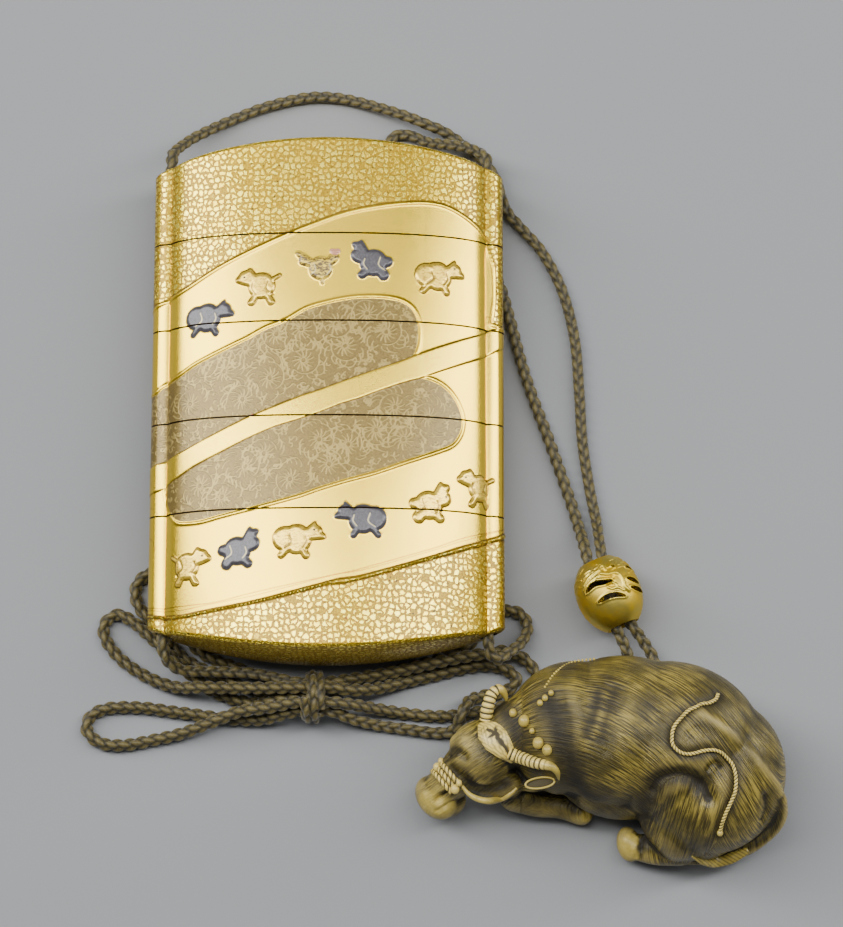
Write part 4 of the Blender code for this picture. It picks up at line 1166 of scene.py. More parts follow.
def stroke_places(points):
    """Coordinates across and along the hair strokes, which fan out over the body."""
    x, y, z = (points - np.array(OX_PLACE)).T
    round_body = np.arctan2(z - 8, 2 - y)
    round_body = np.where(round_body < -pi / 2, round_body + 2 * pi, round_body)
    unrolled = 12 * (round_body - pi / 2) + 30
    reach = np.hypot(x + 12, unrolled)
    turn = np.arctan2(unrolled, x + 12)
    body = np.stack([reach, turn * 12, np.zeros(len(x))], axis=1)
    knee = np.stack([x * 0.93 - y * 0.25 + 40, y * 0.5, z * 0.3], axis=1)
    head = np.stack([x * 0.55 - y * 0.85 + 80, x * 0.85 + y * 0.5, z * 0.3], axis=1)
    on_knee = ((np.abs((x - 12.5) / 6.0) ** 2 + np.abs((y + 9.5) / 6.2) ** 2) < 1)[:, None]
    on_head = (x < -13)[:, None]
    return np.where(on_head, head, np.where(on_knee, knee, body))


def smooth_stops(stops, spacing):
    """Stops of a limb, close together along a smooth curve."""
    return smooth_route(np.array(stops, dtype=float), spacing)[0]


def ivory_material(settings):
    """Stained carving: near-black in the recesses, painted shade on the far flank, olive-honey on the rounds, fine
    strokes.
    """
    material, tree, shader = new_material("stained_carving")
    stroke = reading(tree, "stroke", "Vector")
    lines = noise(tree, scaled(tree, stroke, (5.2, 0.5, 0.6)), 1.0, 3.0, 0.65)
    hollow = reading(tree, "hollow")
    basin = reading(tree, "basin")
    place = node(tree, "ShaderNodeTexCoord").outputs["Object"]
    cloud = wear(tree, place, 170.0)
    fine = noise(tree, place, 900.0)
    base = blend(tree, step(tree, lines, 0.36, 0.62), tone(settings, "ivory_groove"), tone(settings, "ivory_body"))
    light = maths(tree, "MULTIPLY", step(tree, cloud, 0.38, 0.62), step(tree, lines, 0.44, 0.6), clamp=True)
    base = blend(tree, maths(tree, "MULTIPLY", light, 0.75), base, tone(settings, "ivory_honey"))
    raised = step(tree, hollow, -0.08, -0.40)
    base = blend(tree, maths(tree, "MULTIPLY", raised, 0.4), base, tone(settings, "ivory_cream"))
    sunk_and_shaded = maths(tree, "MAXIMUM", step(tree, hollow, 0.02, 0.20), step(tree, basin, 0.05, 0.9))
    sunk_and_shaded = maths(tree, "ADD", sunk_and_shaded, step(tree, cloud, 0.46, 0.26, 0.0, 0.45), clamp=True)
    # The stored stain also carries painted shade along the far flank.
    sunk_and_shaded = maths(tree, "MAXIMUM", sunk_and_shaded, reading(tree, "stain"))
    base = blend(tree, maths(tree, "MULTIPLY", sunk_and_shaded, 0.95), base, tone(settings, "ivory_stain_and_shade"))
    honey = step(tree, reading(tree, "honey"), 0.05, 0.4)
    pale = step(tree, fine, 0.35, 0.75, 0.0, 0.35)
    warm = blend(tree, pale, tone(settings, "ivory_honey"), tone(settings, "ivory_cream"))
    base = blend(tree, honey, base, warm)
    tree.links.new(base, shader.inputs["Base Color"])
    rough = step(tree, sunk_and_shaded, 0.0, 1.0, 0.34, 0.6)
    tree.links.new(rough, shader.inputs["Roughness"])
    shader.inputs["Specular IOR Level"].default_value = 0.38
    bumped(tree, shader, lines, 0.8, 0.00022)
    return material


def tube(name, path, radius, sides, values=None, flatten=1.0):
    """A round tube along a path, with a radius for each ring or each point."""
    across, over = carried_frames(path)
    turn = np.linspace(0, 2 * pi, sides, endpoint=False)
    radius = np.broadcast_to(radius if np.ndim(radius) == 2 else np.reshape(radius, (-1, 1)), (len(path), sides))
    points = path[:, None] + radius[:, :, None] * spokes(turn, across, over, flatten)
    return closed(woven(name, points, values))


def over(tree, places):
    """Points a given rise above the surface, still under their places in the photograph's frame."""
    points, last = [], None
    for px, py, rise in places:
        origin, ray = view_ray(px, py)
        hit = tree.ray_cast(origin, ray)[0]
        if hit is None:
            hit = origin + ray * ((last if last is not None else 5.0) - origin.z) / ray.z
        last = hit.z
        points.append(tuple(hit - ray * rise))
    return np.array(points)


def at_height(places):
    """Points at given heights under places of the photograph's frame."""
    points = []
    for px, py, height in places:
        origin, ray = view_ray(px, py)
        points.append(tuple(origin + ray * (height - origin.z) / ray.z))
    return np.array(points)


def strung(stops, radii):
    """A tapering tube's path, radius and run through stops."""
    path, run = smooth_route(stops, 0.12)
    radius = np.interp(run / run[-1], np.linspace(0, 1, len(radii)), radii)
    return path, radius, run


def ringed_horn(name, stops):
    """A horn with rings on its lower part and a smooth warm tip."""
    path, radius, run = strung(stops, (1.02, 1.05, 1.0, 0.95, 0.85, 0.68, 0.42, 0.12))
    share = run / run[-1]
    ringed = smoothstep(0.66, 0.60, share)
    groove = (0.5 - 0.5 * np.cos(2 * pi * run / HORN_PITCH)) ** 3 * ringed
    sides = 18
    values = {"deep": np.repeat(groove[:, None], sides, axis=1),
              "warm": np.repeat(smoothstep(0.55, 0.75, share)[:, None], sides, axis=1)}
    return tube(name, path, radius * (1 - 0.16 * groove), sides, values)


def twisted_rope(name, path, radius, pitch):
    """A two-strand rope along a path."""
    path, run = smooth_route(path, 0.07)
    turn = np.linspace(0, 2 * pi, 12, endpoint=False)
    strand = np.abs(np.cos(turn[None] - pi * run[:, None] / pitch))
    values = {"deep": smoothstep(0.62, 0.25, strand), "warm": np.full(strand.shape, 0.2)}
    return tube(name, path, radius * (0.72 + 0.28 * strand), 12, values)


def leaf(name, places, radii, flatten, cuts=(), warm=0.0):
    """A flat tapering form over the surface, with dark cuts."""
    path, radius, _ = strung(places, radii)
    sides = 40
    across, upward = carried_frames(path)
    turn = np.linspace(0, 2 * pi, sides, endpoint=False)
    points = path[:, None] + radius[:, None, None] * spokes(turn, across, upward, flatten)
    flat_points = points.reshape(-1, 3)
    deep = np.zeros(len(flat_points))
    for line in cuts:
        deep = np.maximum(deep, smoothstep(0.40, 0.14, near(flat_points, smooth_route(line, 0.08)[0])))
    hatch = 0.48 * smoothstep(0.3, 0.9, np.abs(np.sin(5.5 * (points[:, :, 0] * 0.6 + points[:, :, 1]))))
    values = {"deep": np.maximum(deep.reshape(points.shape[:2]), hatch), "warm": np.full(points.shape[:2], warm)}
    return closed(woven(name, points, values))


def beads(name, centres, sizes, warm):
    """Small egg-shaped beads as one mesh."""
    bm = bmesh.new()
    for centre, size in zip(centres, sizes):
        place = Matrix.Translation(Vector(centre) * MM) @ Matrix.Diagonal((size * MM, size * MM * 1.15, size * MM, 1))
        bmesh.ops.create_icosphere(bm, subdivisions=3 if size > 0.5 else 2, radius=1, matrix=place)
    mesh = baked(bm, name)
    store(mesh, "deep", np.zeros(len(mesh.vertices)))
    store(mesh, "warm", np.full(len(mesh.vertices), warm))
    return mesh


def merged(name, meshes):
    """Several meshes as one."""
    bm = bmesh.new()
    for mesh in meshes:
        bm.from_mesh(mesh)
    return baked(bm, name)


def ox_trimmings(tree):
    """Horns, poll tuft, ear, halter, beads, rope and tail tuft, by piece name."""
    star = [over(tree, ((496, 733, 1.2), (496 + 9 * cos(k * pi / 3 + 0.4), 733 + 8 * sin(k * pi / 3 + 0.4), 1.2)))
            for k in range(6)]
    spine = [over(tree, ((498, 738, 1.2), (505, 747, 1.2), (512, 758, 1.0)))]
    crown = over(tree, ((480, 724, 0.3), (488, 731, 0.5), (497, 740, 0.6), (506, 750, 0.5), (514, 761, 0.3)))
    tuft = leaf("tuft", crown, (0.5, 1.9, 2.3, 1.7, 0.6), 0.34, star + spine)
    halter = []
    for k in (-1, 0, 1):
        u, v = 4.4 * k, -3.6 * k
        line = over(tree, [(437 + 19 * s + u, 767 + 22 * s + v, 0.15) for s in np.linspace(0, 1, 7)])
        halter.append(twisted_rope("halter", line, 0.42, 0.85))
    halter.append(beads("knobs", over(tree, ((437, 767, 0.4), (455, 789, 0.4), (441, 761, 0.3), (459, 783, 0.3))),
                        (0.62, 0.72, 0.5, 0.5), 0.3))
    cheek = over(tree, ((462, 786, 0.1), (469, 794, 0.1), (478, 799, 0.15), (489, 801, 0.15), (500, 799, 0.15),
                        (509, 795, 0.15), (517, 788, 0.1)))
    path, radius, _ = strung(cheek, (0.25, 0.48, 0.55, 0.5, 0.3))
    shape = (len(path), 12)
    jaw = tube("cheek", path, radius, 12, {"deep": np.zeros(shape), "warm": np.full(shape, 0.8)})
    turn = np.linspace(0, 2 * pi, 30)
    height = max(over(tree, ((527, 786, 0.0), (540, 783, 0.0), (552, 780, 0.0)))[:, 2]) + 0.25
    rim = at_height([(540 + 14.5 * cos(a) + 1.2 * sin(a), 783 + 5.2 * sin(a) - 2.2 * cos(a), height) for a in turn])
    inner = ((526, 785), (533, 784.5), (540, 783), (547, 782), (554, 780.5))
    hollow = at_height([(x, y, height - 0.35) for x, y in inner])
    cup, cup_radius, _ = strung(hollow, (0.2, 0.75, 0.85, 0.75, 0.2))
    rim = smooth_route(rim, 0.15)[0]
    rim_shape = (len(rim), 10)
    ear = tube("ear", rim, np.full(len(rim), 0.17), 10,
               {"deep": np.full(rim_shape, 0.2), "warm": np.full(rim_shape, 0.9)})
    neck = over(tree, ((513, 713, 0.3), (524, 721, 0.5), (532, 731, 0.4), (538, 743, 0.5), (547, 750, 0.5),
                       (540, 703, 0.1), (545, 698, 0.1), (551, 693, 0.1)))
    fine_line = over(tree, ((545, 687, 0.1), (556, 672, 0.1), (573, 662, 0.1), (594, 659, 0.1)))
    fine_line = smooth_route(fine_line, 0.62)[0]
    rope = over(tree, [(x, y, 0.1) for x, y in OX_ROPE])
    tail = over(tree, ((748, 850, 0.2), (734, 857, 0.3), (716, 861, 0.3), (702, 860, 0.2), (692, 856, 0.1)))
    tail = leaf("tail", tail, (0.5, 0.95, 1.05, 0.8, 0.2), 0.5, warm=1.0)
    return {
        "ox_horns": merged("ox_horns", [ringed_horn("far horn", at_height(FAR_HORN)),
                                         ringed_horn("near horn", over(tree, NEAR_HORN))]),
        "ox_poll_tuft": tuft,
        "ox_halter": merged("ox_halter", halter + [jaw]),
        "ox_ear": merged("ox_ear", [ear, tube("cup", cup, cup_radius, 12, {
            "deep": np.ones((len(cup), 12)), "warm": np.zeros((len(cup), 12))}, 0.3)]),
        "ox_neck_beads": merged("ox_neck_beads", [
            beads("neck", neck, (0.62, 0.88, 0.45, 0.85, 0.78, 0.5, 0.5, 0.45), 0.9),
            beads("line", fine_line, [0.21] * len(fine_line), 0.9)]),
        "ox_rope": merged("ox_rope", [twisted_rope("rope", rope, 0.31, 0.55), beads("knob", rope[-1:], (0.5,), 0.8)]),
        "ox_tail_tuft": tail,
    }


def trim_material(settings):
    """Cream carving with dark stain in its grooves and a warmer tone towards the tips."""
    material, tree, shader = new_material("stained_trim")
    place = node(tree, "ShaderNodeTexCoord").outputs["Object"]
    cloud = wear(tree, place, 700.0)
    base = blend(tree, reading(tree, "warm"), tone(settings, "cream"), tone(settings, "ivory_honey"))
    base = blend(tree, step(tree, cloud, 0.5, 0.75, 0.0, 0.55), base, tone(settings, "ivory_body"))
    base = blend(tree, step(tree, reading(tree, "deep"), 0.15, 0.75, 0.0, 0.95), base, tone(settings, "ivory_stain_and_shade"))
    tree.links.new(base, shader.inputs["Base Color"])
    dull = maths(tree, "MULTIPLY", reading(tree, "deep"), 0.8)
    rough = maths(tree, "MAXIMUM", step(tree, cloud, 0.3, 0.7, 0.30, 0.42), dull)
    tree.links.new(rough, shader.inputs["Roughness"])
    shader.inputs["Specular IOR Level"].default_value = 0.5
    bumped(tree, shader, cloud, 0.3, 0.00008)
    return material


# Bead


def bead_places(turn, along, rise=0.0):
    """Points on the bead at angles round it and distances along it."""
    steep = np.arccos(BEAD_MOUTH / BEAD_RADIUS)
    tilt = np.arcsin(np.clip(along / BEAD_HALF, -1, 1) * np.sin(steep))
    out = BEAD_RADIUS * np.cos(tilt) + rise
    axis, side = (-np.sin(BEAD_TURN), np.cos(BEAD_TURN)), (np.cos(BEAD_TURN), np.sin(BEAD_TURN))
    return np.stack([BEAD_CENTRE[0] + axis[0] * along + side[0] * out * np.cos(turn),
                     BEAD_CENTRE[1] + axis[1] * along + side[1] * out * np.cos(turn),
                     BEAD_CENTRE[2] + out * np.sin(turn)], axis=-1)


def bead_line(places, turned):
    """A line on the bead under places of the photograph's frame, or the same half a turn round it."""
    centre = Vector(BEAD_CENTRE)
    line = []
    for px, py in places:
        origin, ray = view_ray(px, py)
        apart = origin - centre
        ahead = ray.dot(apart)
        inside = max(ahead * ahead - apart.length_squared + (BEAD_RADIUS + 0.15) ** 2, 0.0)
        line.append(origin + ray * (-ahead - inside ** 0.5) - centre)
    axis = np.array((-np.sin(BEAD_TURN), np.cos(BEAD_TURN), 0.0))
    line = smooth_route(np.array([tuple(point) for point in line]), 0.12)[0]
    along = line @ axis
    side = line @ np.array((np.cos(BEAD_TURN), np.sin(BEAD_TURN), 0.0))
    return bead_places(np.arctan2(line[:, 2], side) + pi * turned, along)


def pierced_bead(fine):
    """A hollow bead with raised leaves, its slots cut right through the wall."""
    around, rows = (260, 120) if fine else (90, 40)
    turn = np.linspace(0, 2 * pi, around, endpoint=False)
    steep = np.arccos(BEAD_MOUTH / BEAD_RADIUS)
    along = BEAD_HALF * np.sin(np.linspace(-steep, steep, rows)) / np.sin(steep)
    turns, alongs = np.meshgrid(turn, along)
    bare = bead_places(turns, alongs)
    flat = bare.reshape(-1, 3)
    slot, rise = np.full(len(flat), FAR), np.zeros(len(flat))
    for turned in (0, 1):
        for places, half in zip(BEAD_SLOTS, BEAD_SLOT_HALF):
            line = bead_line(places, turned)
            for stop, share in zip(line, np.linspace(0, 1, len(line))):
                wide = half * (4 * share * (1 - share)) ** 0.7 + 0.03
                slot = np.minimum(slot, np.linalg.norm(flat - stop, axis=1) - wide)
        rise = np.maximum(rise, 0.30 * smoothstep(0.42, 0.08, near(flat, bead_line(BEAD_STEM, turned))))
        for places in BEAD_TENDRILS:
            rise = np.maximum(rise, 0.16 * smoothstep(0.26, 0.06, near(flat, bead_line(places, turned))))
    rng = np.random.default_rng(11)
    for _ in range(70):
        angle, place, lean = rng.uniform(0, 2 * pi), rng.uniform(1.6, 5.0), rng.uniform(-0.4, 0.4)
        line = bead_places(angle + np.linspace(-0.12, 0.12, 7), place + lean * np.linspace(-1, 1, 7))
        rise = np.maximum(rise, 0.09 * smoothstep(0.24, 0.08, near(flat, line)))
    rise = rise * smoothstep(0.0, 0.12, slot) + 0.10 * smoothstep(0.42, 0.16, slot) * (slot > 0)
    rise = rise.reshape(turns.shape)
    points = bead_places(turns, alongs, rise)
    points[:, :, 2] = np.maximum(points[:, :, 2], 0)
    mesh = woven("pierced_bead", points, {"slot": slot.reshape(turns.shape), "rise": rise})
    bm = bmesh.new()
    bm.from_mesh(mesh)
    rim = [vert for vert in bm.verts if vert.is_boundary]
    bmesh.ops.remove_doubles(bm, verts=rim, dist=1e-7)
    layer = bm.verts.layers.float["slot"]
    cut = [face for face in bm.faces if sum(vert[layer] for vert in face.verts) < 0]
    bmesh.ops.delete(bm, geom=cut, context="FACES")
    for _ in range(3):
        edge = [vert for vert in bm.verts if vert.is_boundary]
        bmesh.ops.smooth_vert(bm, verts=edge, factor=0.4, use_axis_x=True, use_axis_y=True, use_axis_z=True)
    bmesh.ops.recalc_face_normals(bm, faces=bm.faces)
    bmesh.ops.solidify(bm, geom=bm.faces[:], thickness=BEAD_WALL * MM)
    bmesh.ops.recalc_face_normals(bm, faces=bm.faces)
    bm.to_mesh(mesh)
    bm.free()
    return mesh


def bead_material(settings):
    """Yellow metal, dark in its hollows, with fine tool marks."""
    material, tree, shader = new_material("bead_metal")
    place = node(tree, "ShaderNodeTexCoord").outputs["Object"]
    marks = noise(tree, place, 1400.0, 3.0)
    broad = wear(tree, place, 260.0)
    raised = step(tree, reading(tree, "rise"), 0.03, 0.16)
    base = blend(tree, step(tree, broad, 0.3, 0.7), tone(settings, "brass"), tone(settings, "gold_deep"))
    base = blend(tree, maths(tree, "MULTIPLY", raised, 0.4), base, tone(settings, "flake"))
    near_slot = step(tree, reading(tree, "slot"), 0.10, 0.0, 0.0, 0.7)
    base = blend(tree, near_slot, base, tone(settings, "brass_deep"))
    tree.links.new(base, shader.inputs["Base Color"])
    shader.inputs["Metallic"].default_value = 1.0
    tree.links.new(step(tree, broad, 0.3, 0.7, 0.38, 0.52), shader.inputs["Roughness"])
    bumped(tree, shader, marks, 0.35, 0.00006)
    return material


class INRO_OT_bead(bpy.types.Operator):
    """Makes the hollow pierced bead"""

    bl_idname = "inro.bead"
    bl_label = "Pierced bead"

    def execute(self, context):
        mesh = pierced_bead(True)
        bead = piece("pierced_bead", mesh, bead_material(context.scene.inro_colours), radians(50))
        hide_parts("ojime_bead")
        return {"FINISHED"}


class INRO_OT_ox(bpy.types.Operator):
    """Carves the recumbent ox with its horns, ropes and beads"""

    bl_idname = "inro.ox"
    bl_label = "Carved ox"

    def execute(self, context):
        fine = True
        material = ivory_material(context.scene.inro_colours)
        mesh, tree = ox_skin(fine)
        body = piece("ox_body", mesh, material)
        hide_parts("netsuke_ox")
        trim = trim_material(context.scene.inro_colours)
        for name, mesh in ox_trimmings(tree).items():
            piece(name, mesh, trim)
        return {"FINISHED"}


# Settings


def tint(label, description, rgb):
    """A colour a user may change."""
    return FloatVectorProperty(name=label, description=description, subtype="COLOR", default=rgb, min=0, max=1)


class InroColours(bpy.types.PropertyGroup):
    """Colours of the finishes."""

    cord_dark: tint("Cord dark", "Silk in its shaded side", (0.03, 0.023, 0.006))
    cord_light: tint("Cord light", "Silk on its lit side", (0.162, 0.126, 0.033))
    ivory_body: tint("Carving", "Stained rounds", (0.118, 0.092, 0.017))
    ivory_groove: tint("Carving strokes", "Stain in the strokes", (0.03, 0.022, 0.006))
    ivory_honey: tint("Carving honey", "Warm worn places", (0.39, 0.295, 0.055))
    ivory_cream: tint("Carving cream", "Palest worn places", (0.68, 0.53, 0.17))
    # Also the colour of the painted shade along the ox's far flank
    ivory_stain_and_shade: tint("Carving stain", "Near-black recesses", (0.014, 0.011, 0.006))
    gold: tint("Sash gold", "Satin gold of the sash", (0.87, 0.61, 0.035))
    gold_deep: tint("Sash gold, deep", "Warmer gold of the sash", (0.74, 0.48, 0.018))
    flake: tint("Flake", "Palest gold flakes", (0.93, 0.76, 0.1))
    flake_deep: tint("Flake, deep", "Deepest gold flakes", (0.78, 0.54, 0.03))
    flake_ground: tint("Flake ground", "Lacquer between the flakes", (0.24, 0.138, 0.005))
    flake_dust: tint("Flake dust", "Gold dust between the flakes", (0.50, 0.325, 0.012))
    stripe: tint("Stripe", "Speckled band between the panels", (0.78, 0.54, 0.035))
    panel: tint("Panel", "Brown ground of the engraved panels", (0.205, 0.138, 0.028))
    panel_deep: tint("Panel, deep", "Darker grain of the panels", (0.135, 0.088, 0.016))
    engraving: tint("Engraving", "Flowers and leaves in the panels", (0.42, 0.31, 0.085))
    line_gold: tint("Gold line", "Fine lines", (0.36, 0.2, 0.01))
    line_brown: tint("Brown line", "Outlines and edges", (0.13, 0.062, 0.004))
    figure_gold: tint("Figure", "Raised gold figures", (0.84, 0.58, 0.055))
    feather_dark: tint("Feather", "Dark bars of the feathers", (0.13, 0.085, 0.025))
    pale_gold: tint("Pale line", "Gold lines on slate", (0.72, 0.6, 0.28))
    slate: tint("Slate", "Raised slate figures", (0.095, 0.088, 0.098))
    slate_deep: tint("Slate, deep", "Slate, darker parts", (0.05, 0.046, 0.052))
    rose: tint("Rose", "Comb and face", (0.62, 0.29, 0.17))
    red_brown: tint("Red brown", "Thin arcs and spots", (0.22, 0.05, 0.02))
    inner_lacquer: tint("Inner lacquer", "Risers and compartments", (0.045, 0.02, 0.008))
    cream: tint("Cream", "Horns and tufts", (0.76, 0.58, 0.15))
    brass: tint("Bead gold", "Raised gold of the bead", (0.60, 0.48, 0.10))
    brass_deep: tint("Bead, deep", "Hollows of the bead", (0.1, 0.06, 0.015))


class InroSizes(bpy.types.PropertyGroup):
    """Sizes a user may change."""

    face_step: FloatProperty(name="Relief step", default=0.17, min=0.08, max=2.0,
                             description="Distance between the points of the decorated face, in millimetres")


SECTIONS = (("lid", TOP_CASE_TOP, LID_TOP), ("top_case", SECOND_CASE_TOP, TOP_CASE_TOP),
            ("second_case", SECOND_CASE_BASE, SECOND_CASE_TOP), ("third_case", BOTTOM_CASE_TOP, SECOND_CASE_BASE),
            ("bottom_case", BOTTOM_CASE_BASE, BOTTOM_CASE_TOP))


def lacquer_material(settings):
    """Gold lacquer: flakes outside the sash, satin gold in it, engraved brown panels and raised figures."""
    material, tree, shader = new_material("gold_lacquer_finish")
    lay = reading(tree, "lay", "Vector")
    wobble = node(tree, "ShaderNodeTexNoise", {"Vector": lay, "Scale": 1.6, "Detail": 2.0})
    shifted = node(tree, "ShaderNodeVectorMath", {0: wobble.outputs["Color"], 1: (0.9, 0.9, 0.0)},
                   operation="MULTIPLY_ADD")
    tree.links.new(lay, shifted.inputs[2])
    place = shifted.outputs[0]
    flakes = {"Vector": place, "Scale": 1.05, "Randomness": 0.78}
    cell = node(tree, "ShaderNodeTexVoronoi", flakes, voronoi_dimensions="2D")
    gap = node(tree, "ShaderNodeTexVoronoi", flakes, feature="DISTANCE_TO_EDGE", voronoi_dimensions="2D").outputs[0]
    dust = noise(tree, lay, 5.0, 3.0, 0.7)
    broad = noise(tree, lay, 0.11)
    split = node(tree, "ShaderNodeSeparateColor", {0: cell.outputs["Color"]})
    lightness = split.outputs[0]
    size = maths(tree, "MULTIPLY_ADD", split.outputs[1], 0.13, 0.09)
    flake = step(tree, maths(tree, "SUBTRACT", gap, size), 0.0, 0.07)
    missing = step(tree, split.outputs[2], 0.965, 0.975)
    flake = maths(tree, "MULTIPLY", flake, maths(tree, "SUBTRACT", 1.0, missing), clamp=True)
    ground = blend(tree, step(tree, dust, 0.40, 0.62), tone(settings, "flake_ground"), tone(settings, "flake_dust"))
    pit = step(tree, noise(tree, lay, 1.9, 0.0), 0.76, 0.80)
    ground = blend(tree, pit, ground, (0.05, 0.03, 0.01))
    shine = blend(tree, lightness, tone(settings, "flake_deep"), tone(settings, "flake"))
    ground = blend(tree, flake, ground, shine)
    smooth = blend(tree, broad, tone(settings, "gold_deep"), tone(settings, "gold"))
    smooth = blend(tree, step(tree, dust, 0.58, 0.80, 0.0, 0.35), smooth, tone(settings, "line_gold"))
    sash = step(tree, reading(tree, "sash"), -0.02, 0.06)
    base = blend(tree, sash, ground, smooth)

    stripe = step(tree, reading(tree, "stripe"), -0.03, 0.06)
    speck = noise(tree, lay, 6.5, 1.0)
    speck = step(tree, speck, 0.56, 0.68, 0.0, 0.8)
    speckled = blend(tree, speck, tone(settings, "stripe"), tone(settings, "line_gold"))
    base = blend(tree, stripe, base, speckled)

    panel = maths(tree, "MULTIPLY", step(tree, reading(tree, "panel"), -0.05, 0.05),
                  maths(tree, "SUBTRACT", 1.0, stripe), clamp=True)
    vine = maths(tree, "MULTIPLY", step(tree, reading(tree, "vine"), 0.17, 0.06), panel)
    grain = noise(tree, lay, 3.0, 3.0, 0.7)
    brown = blend(tree, step(tree, grain, 0.3, 0.7), tone(settings, "panel_deep"), tone(settings, "panel"))
    base = blend(tree, panel, base, brown)
    base = blend(tree, maths(tree, "MULTIPLY", vine, 0.6), base, tone(settings, "engraving"))

    rim = reading(tree, "panel")
    for middle, strength in ((-0.16, 0.55), (-0.72, 0.6)):
        off = maths(tree, "ABSOLUTE", maths(tree, "SUBTRACT", rim, middle))
        line = step(tree, off, 0.15, 0.03, 0.0, strength)
        line = maths(tree, "MULTIPLY", line, maths(tree, "SUBTRACT", 1.0, stripe))
        base = blend(tree, line, base, tone(settings, "line_gold"))
    side = step(tree, maths(tree, "ABSOLUTE", reading(tree, "stripe")), 0.14, 0.03, 0.0, 0.75)
    base = blend(tree, side, base, tone(settings, "line_brown"))
    for label, wide, shade in (("edge", 0.20, "line_brown"), ("fine", 0.15, "line_gold")):
        base = blend(tree, step(tree, reading(tree, label), wide, 0.05, 0.0, 0.85), base, tone(settings, shade))
    second = maths(tree, "ABSOLUTE", maths(tree, "SUBTRACT", reading(tree, "sash"), 0.72))
    base = blend(tree, step(tree, second, 0.14, 0.03, 0.0, 0.7), base, tone(settings, "line_gold"))

    outline = step(tree, maths(tree, "ABSOLUTE", reading(tree, "figure")), 0.17, 0.04, 0.0, 0.85)
    figure = step(tree, reading(tree, "figure"), -0.02, 0.08)
    hair = noise(tree, scaled(tree, place, (1.2, 5.5, 1.0)), 1.0)
    tuft = step(tree, hair, 0.50, 0.60, 0.0, 0.8)
    furred = blend(tree, tuft, tone(settings, "figure_gold"), tone(settings, "line_gold"))
    base = blend(tree, figure, base, furred)
    base = blend(tree, outline, base, tone(settings, "line_brown"))
    feather = step(tree, reading(tree, "feather"), -0.02, 0.07)
    barred = blend(tree, step(tree, hair, 0.44, 0.56), tone(settings, "feather_dark"), tone(settings, "figure_gold"))
    base = blend(tree, feather, base, barred)
    rose = step(tree, reading(tree, "rose"), -0.14, -0.03)
    base = blend(tree, rose, base, tone(settings, "rose"))
    base = blend(tree, step(tree, reading(tree, "dark"), 0.17, 0.05, 0.0, 0.9), base, tone(settings, "line_brown"))
    slate = step(tree, reading(tree, "slate"), -0.02, 0.06)
    worn = blend(tree, step(tree, grain, 0.35, 0.7), tone(settings, "slate_deep"), tone(settings, "slate"))
    base = blend(tree, slate, base, worn)
    drawn_on = maths(tree, "MAXIMUM", slate, feather)
    pale = maths(tree, "MULTIPLY", step(tree, reading(tree, "pale"), 0.16, 0.05, 0.0, 0.85), drawn_on)
    base = blend(tree, pale, base, tone(settings, "pale_gold"))
    base = blend(tree, step(tree, reading(tree, "red"), 0.14, 0.05, 0.0, 0.6), base, tone(settings, "red_brown"))
    base = blend(tree, step(tree, reading(tree, "marks"), 0.22, 0.12), base, tone(settings, "red_brown"))
    base = blend(tree, step(tree, reading(tree, "dots"), 0.26, 0.14), base, (0.02, 0.015, 0.01))
    hidden = maths(tree, "SUBTRACT", 1.0, reading(tree, "outside"), clamp=True)
    base = blend(tree, hidden, base, tone(settings, "inner_lacquer"))
    tree.links.new(base, shader.inputs["Base Color"])

    dull = maths(tree, "MAXIMUM", maths(tree, "MULTIPLY", drawn_on, 0.75), maths(tree, "MULTIPLY", panel, 0.35))
    dull = maths(tree, "MAXIMUM", dull, maths(tree, "MULTIPLY", figure, 0.3))
    dull = maths(tree, "MAXIMUM", dull, maths(tree, "MULTIPLY", rose, 0.8))
    metal = maths(tree, "SUBTRACT", 0.95, dull, clamp=True)
    tree.links.new(maths(tree, "MULTIPLY", metal, reading(tree, "outside"), clamp=True), shader.inputs["Metallic"])
    matte = maths(tree, "MULTIPLY_ADD", maths(tree, "SUBTRACT", 1.0, flake), 0.20, 0.26)
    rough = node(tree, "ShaderNodeMix", {0: sash, 2: matte, 3: 0.25}, data_type="FLOAT").outputs[0]
    rough = maths(tree, "MULTIPLY_ADD", maths(tree, "MAXIMUM", drawn_on, panel), 0.10, rough)
    tree.links.new(rough, shader.inputs["Roughness"])
    shader.inputs["Coat Weight"].default_value = 0.25
    shader.inputs["Coat Roughness"].default_value = 0.18
    raised = maths(tree, "MULTIPLY", maths(tree, "MULTIPLY_ADD", lightness, 0.5, 0.5), flake)
    height = maths(tree, "MULTIPLY", raised, maths(tree, "SUBTRACT", 1.0, sash), clamp=True)
    height = maths(tree, "ADD", height, maths(tree, "MULTIPLY", vine, 0.6))
    height = maths(tree, "MULTIPLY_ADD", dust, 0.12, height)
    bumped(tree, shader, height, 0.8, 0.00006)
    return material


class INRO_OT_case(bpy.types.Operator):
    """Builds the five sections of the lacquer case"""

    bl_idname = "inro.case"
    bl_label = "Lacquer case"

    def execute(self, context):
        material = lacquer_material(context.scene.inro_colours)
        step_size = context.scene.inro_sizes.face_step * 1
        for name, base, top in SECTIONS:
            mesh = section_mesh(name, base, top, step_size)
            obj = piece("lacquer_" + name, mesh, material, radians(40))
            bored(obj)
            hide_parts(name)
        return {"FINISHED"}


